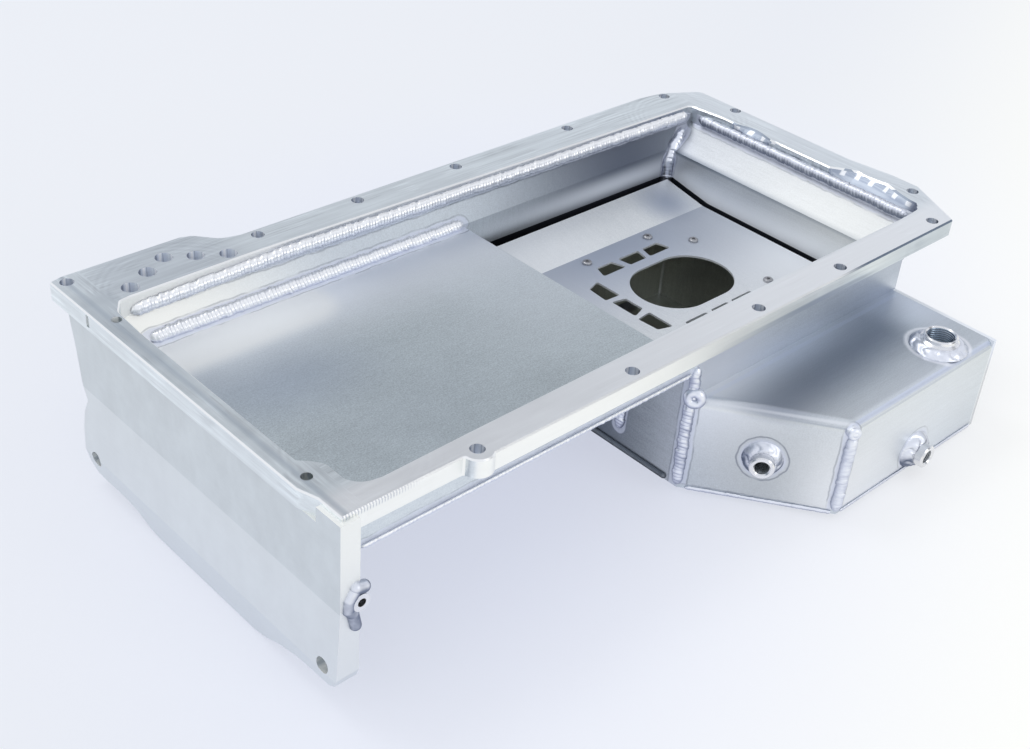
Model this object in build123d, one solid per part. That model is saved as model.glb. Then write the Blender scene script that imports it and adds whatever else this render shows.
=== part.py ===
from build123d import *
import math
import os

# Engine oil pan, welded from aluminium plate and sheet.
# Frame, in millimetres: the gasket face of the rail is z = 0 and the pan hangs below it.
# x runs from the bellhousing plate to the deep sump, y from the kick-out side to the opposite side.
# The origin is the middle of the four rail bolts at mid length.

# Rail
RAIL_T = 12.0
RAIL_LEN = 546.0
RAIL_W = 267.0
BOLT_R = 4.3
END_BOLT_R = 3.25
PLATE_BOLT_R = 5.0
PAD_BOLT_R = 5.6
BOLT_Y_FRONT = 8.0
BOLT_Y_BACK = RAIL_W - 7.0
BOLT_X_MID = (211.0, 408.0)
ORIGIN_X = sum(BOLT_X_MID) / 2
ORIGIN_Y = (BOLT_Y_FRONT + BOLT_Y_BACK) / 2

# Sheet walls
SHEET = 3.0
PLATE_X0 = 1.0
PLATE_X1 = 13.5
FRONT_Y = 12.5
FRONT_IN = FRONT_Y + SHEET
FLOOR_Z = -28.0
FLOOR_BOT = FLOOR_Z - SHEET
SUMP_X = RAIL_LEN - 269.0
SUMP_IN_X = SUMP_X + SHEET
FAR_IN_X = RAIL_LEN - 54.0
FAR_X = FAR_IN_X + SHEET
FAR_TOP_X = RAIL_LEN - 27.0
BACK_TOP_Y = (RAIL_W - 24.4, RAIL_W - 35.6)
BACK_LOW_Y = (RAIL_W - 35.5, RAIL_W - 39.5)
WALL_TOP_Z = -5.0
KNEE_TOP_Z = -13.0
KNEE_Z = -27.0

# Sump and kick-out
SUMP_Z = -120.0
SUMP_IN_Z = SUMP_Z + SHEET
KICK_Z = -50.0
KICK_Y = -69.5
KICK_X = SUMP_X + 60.0
FOLD_R = 7.0

# Baffle tray and the folded box under it
TRAY_Z = -56.0
TRAY_T = 1.5
TRAY_X0 = SUMP_X + 7.0
TRAY_X1 = FAR_IN_X - 6.0
TRAY_Y0 = 19.0
TRAY_Y1 = BACK_LOW_Y[1] - 6.5
TRAY_FOLD_Y = TRAY_Y1 - 38.0
TRAY_BACK_RISE = 7.0
BOX_T = 1.5
BOX_X0 = SUMP_X + 23.0
BOX_X1 = FAR_IN_X - 47.0
BOX_Y0 = 51.0
BOX_Y1 = TRAY_FOLD_Y - 2.0
OVAL_X = BOX_X1 - 57.5
OVAL_Y = (BOX_Y0 + BOX_Y1) / 2 + 0.5
OVAL_R = 29.0
OVAL_STRAIGHT = 24.0
SCREW_R = 2.0
SCREWS = (
    (OVAL_X - 37.5, BOX_Y1 - 7.0),
    (BOX_X1 - 31.5, BOX_Y1 - 7.0),
    (BOX_X1 - 7.0, BOX_Y1 - 30.4),
    (BOX_X1 - 7.0, BOX_Y0 + 29.0),
    (BOX_X1 - 31.5, BOX_Y0 + 7.0),
    (OVAL_X - 37.5, BOX_Y0 + 7.0),
)

# Threaded bungs: bore radii are the tapping sizes
TOP_BUNG = (FAR_IN_X - 36.0, KICK_Y + 20.5)
TOP_BUNG_R = 11.3
TOP_BUNG_BORE = TOP_BUNG_R - 2.05
TOP_BUNG_COLLAR_R = TOP_BUNG_R + 1.8
SMALL_BUNG_R = 8.0
SMALL_BUNG_BORE = SMALL_BUNG_R - 3.4
SIDE_BUNG = (FAR_IN_X - 74.5, SUMP_Z + 14.5)
ANGLE_BUNG_ALONG = 50.0
ANGLE_BUNG_Z = SUMP_Z + 33.5

LOW = (Align.CENTER, Align.CENTER, Align.MIN)

os.makedirs("parts", exist_ok=True)


def block(x0, x1, y0, y1, z0, z1):
    corner = Pos(x0, y0, z0)
    return corner * Box(x1 - x0, y1 - y0, z1 - z0, align=(Align.MIN, Align.MIN, Align.MIN))


def prism(points, z0, z1):
    face = make_face(Polyline(*[(x, y, z0) for x, y in points], close=True))
    return extrude(face, amount=z1 - z0, dir=(0, 0, 1))


def side_prism(points, y0, y1):
    """Points are (x, z); the prism runs along y."""
    face = make_face(Polyline(*[(x, y0, z) for x, z in points], close=True))
    return extrude(face, amount=y1 - y0, dir=(0, 1, 0))


def end_prism(points, x0, x1):
    """Points are (y, z); the prism runs along x."""
    face = make_face(Polyline(*[(x0, y, z) for y, z in points], close=True))
    return extrude(face, amount=x1 - x0, dir=(1, 0, 0))


def rounded_prism(points, radii, z0, z1):
    line = FilletPolyline(*[(x, y, 0) for x, y in points], radius=radii, close=True)
    return Pos(0, 0, z0) * extrude(make_face(line), amount=z1 - z0, dir=(0, 0, 1))


def rod(a, b, r):
    """A round bar from a to b."""
    a = Vector(*a)
    b = Vector(*b)
    span = b - a
    plane = Plane(origin=a, z_dir=span)
    return plane * Cylinder(r, span.length, align=LOW)


def bead(points, r):
    """A weld bead: round bars with round ends through the points."""
    solid = None
    for a, b in zip(points, points[1:]):
        piece = rod(a, b, r)
        solid = piece if solid is None else solid + piece
    for p in points:
        solid = solid + Pos(*p) * Sphere(r)
    return solid


def hole(x, y, r, z0=-40.0, z1=10.0):
    return Pos(x, y, z0) * Cylinder(r, z1 - z0, align=LOW)


def biggest(shape):
    """The largest solid of a boolean result."""
    return sorted(shape.solids(), key=lambda s: s.volume)[-1]


def quad(x0, x1, y0, y1a, y1b, z):
    return make_face(Polyline((x0, y0, z), (x1, y0, z), (x1, y1b, z), (x0, y1a, z), close=True))


def tub(gap):
    """The inside of the pan, grown by gap on the three leaning or upright walls."""
    x0 = PLATE_X1
    y0 = FRONT_IN - gap
    top = (x0, FAR_TOP_X + gap, y0, BACK_TOP_Y[0] + gap, BACK_TOP_Y[1] + gap)
    low = (x0, FAR_IN_X + gap, y0, BACK_LOW_Y[0] + gap, BACK_LOW_Y[1] + gap)
    upper = extrude(quad(*top, KNEE_TOP_Z), amount=WALL_TOP_Z - KNEE_TOP_Z, dir=(0, 0, 1))
    lean = loft([quad(*low, KNEE_Z), quad(*top, KNEE_TOP_Z)], ruled=True)
    lower = extrude(quad(*low, SUMP_Z), amount=KNEE_Z - SUMP_Z, dir=(0, 0, 1))
    return upper + lean + lower


# Rail: one thick machined ring with a wide pad at the back corner of the bellhousing end
rail_outer = [
    (4.0, 7.0),
    (82.0, 7.0),
    (97.0, 0.0),
    (RAIL_LEN - 18.0, 0.0),
    (RAIL_LEN + 5.0, 44.0),
    (RAIL_LEN + 5.0, 66.0),
    (RAIL_LEN, 101.0),
    (RAIL_LEN, RAIL_W - 19.0),
    (RAIL_LEN - 30.0, RAIL_W - 3.0),
    (RAIL_LEN - 51.0, RAIL_W),
    (122.0, RAIL_W),
    (110.0, RAIL_W + 3.0),
    (98.0, RAIL_W + 16.0),
    (90.0, RAIL_W + 19.0),
    (8.0, RAIL_W + 19.0),
    (0.0, RAIL_W + 17.0),
    (0.0, 39.0),
    (4.0, 26.0),
]
rail_radii = [0.0, 0.0, 0.0, 2.0, 4.0, 12.0, 25.0, 8.0, 12.0, 20.0, 14.0, 12.0, 8.0, 6.0, 2.0, 1.0, 4.0, 3.0]
rail = rounded_prism(rail_outer, rail_radii, -RAIL_T, 0.0)
rail += hole(92.9, 7.4, 9.5, -RAIL_T, 0.0)
rail_inner = [
    (14.0, 58.0),
    (19.0, 53.5),
    (24.2, 47.0),
    (24.2, 31.0),
    (29.0, 23.0),
    (40.0, 21.0),
    (100.0, 22.0),
    (330.0, 24.0),
    (RAIL_LEN - 46.0, 23.5),
    (FAR_TOP_X + SHEET, 25.0),
    (FAR_TOP_X + SHEET, RAIL_W - 62.0),
    (FAR_TOP_X - 1.0, BACK_TOP_Y[1] + SHEET),
    (150.0, BACK_TOP_Y[0]),
    (112.0, BACK_TOP_Y[0] + 0.7),
    (29.0, BACK_TOP_Y[0]),
    (22.0, BACK_TOP_Y[0] - 1.1),
    (15.5, BACK_TOP_Y[0] - 10.6),
    (14.0, RAIL_W - 62.0),
]
inner_radii = [2.0, 5.0, 6.0, 8.0, 12.0, 10.0, 0.0, 0.0, 4.0, 4.0, 20.0, 4.0, 0.0, 8.0, 3.0, 3.0, 6.0, 20.0]
rail -= rounded_prism(rail_inner, inner_radii, -RAIL_T - 1, 1.0)
top_edges = rail.faces().sort_by(Axis.Z)[-1].edges()
rail = chamfer(top_edges, 0.9)

# Sloping scallops on the inner top edge, beside the two far bolts. Points are (past the edge, y)
FAR_EDGE = FAR_TOP_X + SHEET
SCALLOP_REACH = 8.0


def scallop(points, depth):
    ends = (points[0][1], points[-1][1])
    mid_y = sum(y for out, y in points) / len(points)
    top = [(-SCALLOP_REACH, ends[0])] + points + [(-SCALLOP_REACH, ends[1])]
    low = [(-1.0 + 0.15 * out, y) for out, y in points]
    low = [(-SCALLOP_REACH, ends[0])] + low + [(-SCALLOP_REACH, ends[1])]
    low = [(out, mid_y + 0.9 * (y - mid_y)) for out, y in low]
    top_face = make_face(Polyline(*[(FAR_EDGE + out, y, 0.5) for out, y in top], close=True))
    low_face = make_face(Polyline(*[(FAR_EDGE + out, y, -depth) for out, y in low], close=True))
    return loft([low_face, top_face], ruled=True)


wide = [(1.5, 103.0), (8.0, 95.0), (13.5, 86.0), (12.0, 77.0), (13.0, 69.0), (15.0, 60.0)]
wide += [(9.0, 46.0), (6.5, 36.0), (6.0, 30.0), (2.0, 26.5)]
from_back = [(0.6, 76.0), (2.0, 80.0), (4.6, 86.0), (5.6, 92.0), (4.6, 98.0), (1.4, 108.0), (0.6, 120.0)]
narrow = [(out, RAIL_W - back) for out, back in from_back]
rail -= scallop(wide, 9.0)
rail -= scallop(narrow, 5.0)

end_bolts = [(10.0, RAIL_W - 42.0), (10.0, 43.5)]
small_bolts = [(8.1, RAIL_W + 10.9), (131.2, BOLT_Y_BACK), (297.7, BOLT_Y_BACK)]
small_bolts += [(RAIL_LEN - 32.0, BOLT_Y_BACK - 2.0), (RAIL_LEN - 5.0, RAIL_W - 59.6)]
small_bolts += [(RAIL_LEN - 5.0, 42.5), (RAIL_LEN - 32.0, BOLT_Y_FRONT)]
small_bolts += [(92.9, BOLT_Y_FRONT), (324.5, BOLT_Y_FRONT)]
small_bolts += [(x, y) for x in BOLT_X_MID for y in (BOLT_Y_FRONT, BOLT_Y_BACK)]
for x, y in small_bolts:
    rail -= hole(x, y, BOLT_R)
for x, y in end_bolts:
    rail -= hole(x, y, END_BOLT_R)
pad_bolts = [(34.5, -16.0), (51.9, -6.5), (68.8, 2.7), (85.7, -6.5), (103.1, -16.0)]
for x, past_back in pad_bolts:
    rail -= hole(x, RAIL_W + past_back, PAD_BOLT_R)
rail -= block(-1.0, 3.0, RAIL_W - 27.6, RAIL_W - 24.6, -9.5, -1.5)

# Bellhousing plate: thick, ears at the two lower bolts, the middle bellies down between them
plate_outline = [
    (4.0, -RAIL_T),
    (4.0, -106.0),
    (6.0, -112.0),
    (12.0, -115.6),
    (24.0, -116.0),
    (40.0, -117.0),
    (58.0, -122.0),
    (72.0, -128.5),
    (84.0, -131.0),
    (RAIL_W - 85.0, -131.4),
    (RAIL_W - 75.0, -129.5),
    (RAIL_W - 63.0, -124.0),
    (RAIL_W - 49.0, -121.6),
    (RAIL_W - 27.0, -122.4),
    (RAIL_W - 17.0, -121.8),
    (RAIL_W - 11.0, -116.0),
    (RAIL_W - 8.0, -107.0),
    (RAIL_W - 7.5, -92.0),
    (RAIL_W - 9.5, -79.0),
    (RAIL_W - 14.0, -68.5),
    (RAIL_W - 8.9, -60.0),
    (RAIL_W - 5.6, -35.2),
    (RAIL_W - 1.0, -RAIL_T),
]
plate_radii = [0.0, 2.0, 3.0, 6.0, 0.0, 20.0, 20.0, 20.0, 25.0, 20.0, 12.0, 15.0, 20.0, 5.0]
plate_radii += [5.0, 6.0, 6.0, 10.0, 8.0, 2.0, 10.0, 40.0, 0.0]
outline = FilletPolyline(*[(-4.0, y, z) for y, z in plate_outline], radius=plate_radii, close=True)
plate = extrude(make_face(outline), amount=PLATE_X1 + 4.0, dir=(1, 0, 0))
plate_profile = [
    (PLATE_X0, -RAIL_T),
    (PLATE_X0, -61.0),
    (-1.5, -107.5),
    (2.2, -132.0),
    (PLATE_X1, -132.0),
    (PLATE_X1, -RAIL_T),
]
plate = plate & side_prism(plate_profile, -5.0, RAIL_W + 23.0)
# Its kick-out side corner stands up in front of the rail and beside it
plate += block(PLATE_X0, 4.0, 4.0, 24.0, -RAIL_T - 2.0, -2.5)
plate += block(PLATE_X0, PLATE_X1, 4.0, 7.0, -RAIL_T - 2.0, -2.5)
plate -= block(4.0, 20.0, 7.0, 40.0, -RAIL_T, 0.0)
plate -= block(-1.0, 4.0, 24.0, 40.0, -RAIL_T, 0.0)
for y, z in ((RAIL_W - 20.5, -108.8), (16.4, -103.7)):
    plate -= Pos(-5.0, y, z) * Rot(0, 90, 0) * Cylinder(PLATE_BOLT_R, 30.0, align=LOW)
rail -= plate

# A small boss lets into the inner corner of the plate's kick-out side edge
BOSS_X = 12.5
BOSS_Z = -56.0
boss_axis = Pos(BOSS_X, 18.0, BOSS_Z) * Rot(90, 0, 0)
plate -= boss_axis * Cylinder(5.5, 40.0, align=LOW)
boss = boss_axis * Cylinder(5.5, 17.0, align=LOW)
boss -= boss_axis * Cylinder(2.6, 40.0, align=LOW)
boss_weld = bead([(BOSS_X + 3.0, 3.6, BOSS_Z + 8.0), (BOSS_X - 2.0, 3.6, BOSS_Z + 9.5)], 3.6)
boss_weld += bead([(BOSS_X - 6.0, 3.8, BOSS_Z + 3.0), (BOSS_X - 6.5, 3.8, BOSS_Z - 3.5)], 3.4)
boss_weld += bead([(BOSS_X - 4.0, 3.6, BOSS_Z - 7.0), (BOSS_X - 2.0, 3.8, BOSS_Z - 16.0)], 3.4)
boss_weld += bead([(BOSS_X - 2.0, 3.6, BOSS_Z + 9.0), (BOSS_X - 6.0, 3.8, BOSS_Z + 3.0)], 3.4)
boss_weld += bead([(BOSS_X - 6.5, 3.8, BOSS_Z - 3.5), (BOSS_X - 4.0, 3.6, BOSS_Z - 7.0)], 3.4)
boss_weld = biggest(boss_weld - plate - boss_axis * Cylinder(5.5, 40.0, align=LOW))

# Sheet walls, cut from one bent tub
skin = tub(SHEET) - tub(0.0)
inner_corner = (FAR_IN_X, BACK_LOW_Y[1])
mitre_dir = (FAR_TOP_X - FAR_IN_X, BACK_TOP_Y[1] - BACK_LOW_Y[1])
mitre_end = (FAR_IN_X + 3 * mitre_dir[0], BACK_LOW_Y[1] + 3 * mitre_dir[1])
PAST_BACK = RAIL_W + 33.0
PAST_FAR = RAIL_LEN + 14.0
BELOW = SUMP_Z - 10.0
half_way = (inner_corner[0] - 92.0, inner_corner[1] - 77.5)
back_plan = [(0.0, half_way[1]), half_way, inner_corner]
back_plan += [mitre_end, (mitre_end[0], PAST_BACK), (0.0, PAST_BACK)]
back_zone = prism(back_plan, BELOW, 0.0)
front_zone = block(0.0, PAST_FAR, 0.0, FRONT_IN, BELOW, 0.0)

back_wall = skin & back_zone
back_wall -= block(0.0, SUMP_X, half_way[1], PAST_BACK, BELOW, FLOOR_BOT)
slant = [(0.0, -9.5), (34.0, -9.5), (135.0, -5.0), (135.0, 0.0), (0.0, 0.0)]
back_wall -= side_prism(slant, half_way[1], BOLT_Y_BACK)
back_wall -= block(0.0, 29.5, half_way[1], BOLT_Y_BACK, -RAIL_T, 0.0)
back_wall = biggest(back_wall - rail)

before_far = FAR_IN_X - 52.0
far_wall = skin - back_zone - front_zone - block(0.0, before_far, 0.0, PAST_BACK, BELOW, 0.0)
far_wall += block(FAR_IN_X, FAR_X, KICK_Y, FRONT_IN, SUMP_Z, KICK_Z)
far_wall -= block(before_far, FAR_IN_X, 0.0, PAST_BACK, SUMP_Z, SUMP_IN_Z)
far_wall = biggest(far_wall - rail)

front_skin = (skin & front_zone) - block(0.0, PAST_FAR, 0.0, 30.0, -RAIL_T, 0.0)
shallow_front = front_skin & block(0.0, SUMP_X, 0.0, 30.0, FLOOR_BOT, -RAIL_T)
shallow_front -= block(0.0, 19.0, 0.0, 30.0, -18.0, 0.0)
shallow_front = biggest(shallow_front)

# Shallow floor, its sump edge rounded over the top of the sump's rear wall
floor_in = tub(0.0) & block(PLATE_X1, SUMP_IN_X, FRONT_IN, PAST_BACK, FLOOR_BOT, FLOOR_Z)
shallow_floor = biggest(floor_in)
sump_edge = shallow_floor.edges().filter_by(Axis.Y).group_by(Axis.X)[-1].sort_by(Axis.Z)[-1]
shallow_floor = fillet(sump_edge, 1.2)


def back_top_y(x):
    """The back wall's inner face at the rail."""
    t = (x - PLATE_X1) / (FAR_TOP_X - PLATE_X1)
    return BACK_TOP_Y[0] + (BACK_TOP_Y[1] - BACK_TOP_Y[0]) * t


def back_low_y(x):
    """The back wall's inner face below its knee."""
    t = (x - PLATE_X1) / (FAR_IN_X - PLATE_X1)
    return BACK_LOW_Y[0] + (BACK_LOW_Y[1] - BACK_LOW_Y[0]) * t


rear_back_y = back_low_y(SUMP_X)
sump_rear = block(SUMP_X, SUMP_IN_X, FRONT_Y, BOLT_Y_BACK, SUMP_Z, FLOOR_BOT)
sump_rear = biggest(sump_rear - back_wall - block(0.0, SUMP_IN_X, rear_back_y, PAST_BACK, BELOW, 0.0))

# Kick-out: one sheet folded from the upright wall to the top, the outer side and the angled face
kick_plan = [(SUMP_X, FRONT_Y), (KICK_X, KICK_Y), (FAR_IN_X, KICK_Y), (FAR_IN_X, 60.0), (SUMP_X, 60.0)]
kick = prism(kick_plan, SUMP_Z, KICK_Z)
top_rim = kick.faces().sort_by(Axis.Z)[-1].edges()
folds = [e for e in top_rim if e.center().Y < -20.0 and e.center().X < FAR_IN_X - 5.0]
kick = fillet(folds, FOLD_R)
angle_dir = Vector(KICK_X - SUMP_X, KICK_Y - FRONT_Y, 0).normalized()
angle_out = Vector(angle_dir.Y, -angle_dir.X, 0)
inner_a = Vector(SUMP_X, FRONT_Y, 0) - angle_out * SHEET
slope = angle_dir.Y / angle_dir.X
inner_b_x = inner_a.X + (KICK_Y + SHEET - inner_a.Y) / slope
start_x = inner_a.X - (80.0 - inner_a.Y) / -slope
kick_in = [(start_x, 80.0), (inner_b_x, KICK_Y + SHEET), (FAR_IN_X + 1, KICK_Y + SHEET), (FAR_IN_X + 1, 80.0)]
cavity = prism(kick_in, SUMP_Z - 1, KICK_Z - SHEET)
rim_in = cavity.faces().sort_by(Axis.Z)[-1].edges()
folds_in = [e for e in rim_in if e.center().Y < 20.0 and e.center().X < FAR_IN_X - 5.0]
cavity = fillet(folds_in, FOLD_R - SHEET)
kick_shell = kick - cavity
kick_shell -= block(SUMP_X - 77.0, FAR_X + 5.0, FRONT_IN, 90.0, BELOW, KICK_Z + 10.0)
kick_shell -= block(SUMP_X - 77.0, SUMP_IN_X, FRONT_Y, FRONT_IN, SUMP_Z, KICK_Z)
upright = front_skin & block(SUMP_X, PAST_FAR, 0.0, 30.0, KICK_Z - SHEET, -RAIL_T)
kick_shell += upright
kick_shell -= sump_rear
kick_shell -= far_wall
kick_shell -= block(SUMP_X - 77.0, PAST_FAR, KICK_Y - 20.0, 90.0, BELOW, SUMP_IN_Z)

# Flat bottom of sump and kick-out in one sheet
bottom_plan = [
    (SUMP_X, FRONT_Y),
    (KICK_X, KICK_Y),
    (FAR_X, KICK_Y),
    (FAR_X, BACK_LOW_Y[1] + 2.0),
    (SUMP_X, rear_back_y + 2.0),
]
sump_floor = prism(bottom_plan, SUMP_Z, SUMP_IN_Z)
sump_floor = sump_floor - sump_rear - back_wall - far_wall
sump_floor = biggest(sump_floor)


def tray_profile(z_shift):
    """The tray's bent section, as (y, z): flat, then rising to the back wall."""
    pts = [
        (TRAY_Y0, TRAY_Z),
        (TRAY_FOLD_Y, TRAY_Z),
        (TRAY_Y1, TRAY_Z + TRAY_BACK_RISE),
    ]
    return [(y, z + z_shift) for y, z in pts]


tray_pts = tray_profile(0.0) + tray_profile(-TRAY_T)[::-1]
tray = end_prism(tray_pts, TRAY_X0, TRAY_X1)


def rounded_slot(points, r):
    placed = [(OVAL_X + x, OVAL_Y + y) for x, y in points]
    return rounded_prism(placed, [r] * len(points), TRAY_Z - 10.0, TRAY_Z + 10.0)


oval_outline = SlotCenterToCenter(OVAL_STRAIGHT, 2 * OVAL_R)
oval = Pos(OVAL_X, OVAL_Y, TRAY_Z) * extrude(oval_outline, amount=10, both=True)
tray -= oval
# Slots round the oval, as places from its centre
for y0, y1 in ((48.7, 37.7), (-47.7, -37.4)):
    slots = [
        [(-36.5, y0), (-21.5, y0), (-17.5, y1), (-40.5, y1)],
        [(-15.0, y0), (6.0, y0), (3.5, y1), (-13.0, y1)],
        [(10.5, y0), (26.0, y0), (29.5, y1), (7.5, y1)],
    ]
    for pts in slots:
        tray -= rounded_slot(pts if y0 < y1 else pts[::-1], 1.6)
side_slots = [
    [(-61.5, 31.5), (-49.7, 35.5), (-49.7, 13.5), (-63.0, 14.3)],
    [(-61.2, 10.5), (-49.7, 8.0), (-49.7, -8.0), (-61.2, -12.0)],
    [(-62.5, -15.5), (-49.7, -14.0), (-49.7, -36.0), (-61.3, -32.5)],
]
for pts in side_slots:
    tray -= rounded_slot(pts, 1.6)
for x, y in SCREWS:
    tray -= hole(x, y, SCREW_R, TRAY_Z - 10, TRAY_Z + 10)

# Folded box round the pickup, standing on the sump floor and carrying the tray
box_top = TRAY_Z - TRAY_T
box_plan = [(BOX_X0, BOX_Y0), (BOX_X1, BOX_Y0), (BOX_X1, BOX_Y1), (BOX_X0, BOX_Y1)]
box = block(BOX_X0, BOX_X1, BOX_Y0, BOX_Y1, SUMP_IN_Z, box_top)
upright_edges = [e for e in box.edges().filter_by(Axis.Z) if e.center().X > BOX_X0 + 1]
box = fillet(upright_edges, 4.0)
inner = block(BOX_X0 - 1, BOX_X1 - BOX_T, BOX_Y0 + BOX_T, BOX_Y1 - BOX_T, SUMP_IN_Z - 1, box_top - BOX_T)
inner_edges = [e for e in inner.edges().filter_by(Axis.Z) if e.center().X > BOX_X0 + 1]
inner = fillet(inner_edges, 2.5)
box -= inner
window = block(BOX_X0 - 1, BOX_X1 - 14.0, BOX_Y0 + 14.0, BOX_Y1 - 14.0, box_top - 5, box_top + 1)
box -= window
for y0, y1 in ((BOX_Y0 - 1, BOX_Y0 + 5), (BOX_Y1 - 5, BOX_Y1 + 1)):
    for x0 in (BOX_X0 + 25.0, BOX_X1 - 50.0):
        box -= block(x0, x0 + 25.0, y0, y1, SUMP_IN_Z - 1, SUMP_IN_Z + 6.0)
for x, y in SCREWS:
    box -= hole(x, y, 3.2, box_top - 5.0, box_top + 1.0)

# Button-head screws into flanged rivet nuts in the box's top flange
HEAD_R = 3.6
HEAD_H = 2.0
screw_list = []
nut_list = []
for x, y in SCREWS:
    head = Pos(x, y, TRAY_Z) * Cylinder(HEAD_R, HEAD_H, align=LOW)
    head = fillet(head.edges().sort_by(Axis.Z)[-1], 1.2)
    head -= Pos(x, y, TRAY_Z + 0.8) * extrude(RegularPolygon(1.25, 6), amount=3.0)
    shank = Pos(x, y, TRAY_Z - 9.0) * Cylinder(SCREW_R, 9.0, align=LOW)
    screw_list.append((head + shank).solids()[0])
    nut = Pos(x, y, box_top - 8.0) * Cylinder(3.2, 8.0, align=LOW)
    nut += Pos(x, y, box_top - BOX_T - 1.0) * Cylinder(4.4, 1.0, align=LOW)
    nut -= hole(x, y, SCREW_R, -130.0, 0.0)
    nut_list.append(nut.solids()[0])
screws = Compound(children=screw_list)
nuts = Compound(children=nut_list)

# Threaded bungs, each let through its wall. A place is a frame on the wall with z pointing outwards
top_place = Plane(origin=(TOP_BUNG[0], TOP_BUNG[1], KICK_Z), z_dir=(0, 0, 1)).location
side_place = Plane(origin=(SIDE_BUNG[0], KICK_Y, SIDE_BUNG[1]), z_dir=(0, -1, 0)).location
angle_point = Vector(SUMP_X, FRONT_Y, ANGLE_BUNG_Z) + angle_dir * ANGLE_BUNG_ALONG
angle_place = Plane(origin=angle_point, z_dir=angle_out).location


def bung(place, r, bore, stand, depth):
    body = place * Pos(0, 0, -depth) * Cylinder(r, depth + stand, align=LOW)
    rims = body.edges().filter_by(GeomType.CIRCLE)
    body = chamfer(rims, 0.8)
    body -= place * Pos(0, 0, -depth - 1) * Cylinder(bore, depth + stand + 2, align=LOW)
    body -= place * Pos(0, 0, stand - 0.9) * Cone(bore, bore + 1.0, 1.0, align=LOW)
    return body


def ring_weld(place, r_in, r_out, height):
    cone = place * Cone(r_out, r_in + 1.0, height, align=LOW)
    return cone - place * Pos(0, 0, -1) * Cylinder(r_in, height + 2, align=LOW)


bung_top = bung(top_place, TOP_BUNG_R, TOP_BUNG_BORE, 9.0, SHEET + 6.0)
collar = Cone(TOP_BUNG_COLLAR_R, TOP_BUNG_R, 1.4, align=LOW)
collar = Pos(0, 0, 4.6) * collar + Pos(0, 0, -SHEET) * Cylinder(TOP_BUNG_COLLAR_R, 4.6 + SHEET, align=LOW)
bung_top += top_place * (collar - Pos(0, 0, -SHEET) * Cylinder(TOP_BUNG_R - 1.0, 30.0, align=LOW))
bung_side = bung(side_place, SMALL_BUNG_R, SMALL_BUNG_BORE, 12.0, SHEET + 4.0)
bung_angle = bung(angle_place, SMALL_BUNG_R, SMALL_BUNG_BORE, 11.0, SHEET + 4.0)
for place, r in ((top_place, TOP_BUNG_COLLAR_R), (side_place, SMALL_BUNG_R), (angle_place, SMALL_BUNG_R)):
    kick_shell -= place * Pos(0, 0, -20) * Cylinder(r, 40.0, align=LOW)
weld_top = ring_weld(top_place, TOP_BUNG_COLLAR_R, TOP_BUNG_COLLAR_R + 6.9, 4.4)
weld_side = ring_weld(side_place, SMALL_BUNG_R, SMALL_BUNG_R + 6.0, 6.5)
weld_angle = ring_weld(angle_place, SMALL_BUNG_R, SMALL_BUNG_R + 5.5, 5.0)
kick_shell = biggest(kick_shell)

# Weld beads along the joints. Each is shaped round the pieces that it joins
rail_back_xz = ((37.0, -9.6), (136.0, -5.3), (FAR_TOP_X - 8.0, -5.3))
rail_back_pts = [(x, back_top_y(x) - 0.6, z) for x, z in rail_back_xz]
weld_rail_back = biggest(bead(rail_back_pts, 4.3) - back_wall - rail)
weld_rail_far = bead([(FAR_TOP_X + 0.8, BACK_TOP_Y[1] - 6.4, -8.0), (FAR_TOP_X + 0.8, 30.0, -8.0)], 3.7)
weld_rail_far = biggest(weld_rail_far - rail - far_wall - back_wall - weld_rail_back)
floor_back_x = (34.0, SUMP_X + 2.0)
weld_floor_back = bead([(x, back_low_y(x) + 0.5, FLOOR_Z + 1.6) for x in floor_back_x], 4.4)
weld_floor_back = biggest(weld_floor_back - back_wall - shallow_floor - sump_rear - plate)
corner_from = ((16.0, 2.0, -15.0), (3.0, -1.0, -25.0), (-2.5, -2.2, -36.0), (-2.5, -2.2, SUMP_Z + 16.0))
corner_pts = [(inner_corner[0] + x, inner_corner[1] + y, z) for x, y, z in corner_from]
weld_corner = bead(corner_pts, 5.0)
weld_corner = biggest(weld_corner - back_wall - far_wall - rail - weld_rail_back - weld_rail_far)
tray -= weld_corner

weld_shallow_front = bead([(22.0, FRONT_Y, FLOOR_BOT + 0.5), (SUMP_X - 4.5, FRONT_Y, FLOOR_BOT + 0.5)], 2.1)
weld_shallow_front -= block(0.0, SUMP_IN_X, FRONT_Y, 40.0, FLOOR_BOT, 0.0)
weld_shallow_front = biggest(weld_shallow_front - shallow_front - shallow_floor)
weld_rail_front = bead([(24.0, FRONT_Y, -RAIL_T), (FAR_IN_X - 22.0, FRONT_Y, -RAIL_T)], 2.4)
weld_rail_front = weld_rail_front - rail - front_skin - shallow_front - kick_shell
weld_rail_front -= block(0.0, PAST_FAR, FRONT_Y, 40.0, -40.0, 0.0)
# Ground back beside each front bolt, so that the bolt goes in
for x in (92.9, BOLT_X_MID[0], 324.5, BOLT_X_MID[1]):
    weld_rail_front -= block(x - 7.0, x + 7.0, 0.0, FRONT_Y - 0.5, -20.0, 0.0)
weld_rail_front = biggest(weld_rail_front)

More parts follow.
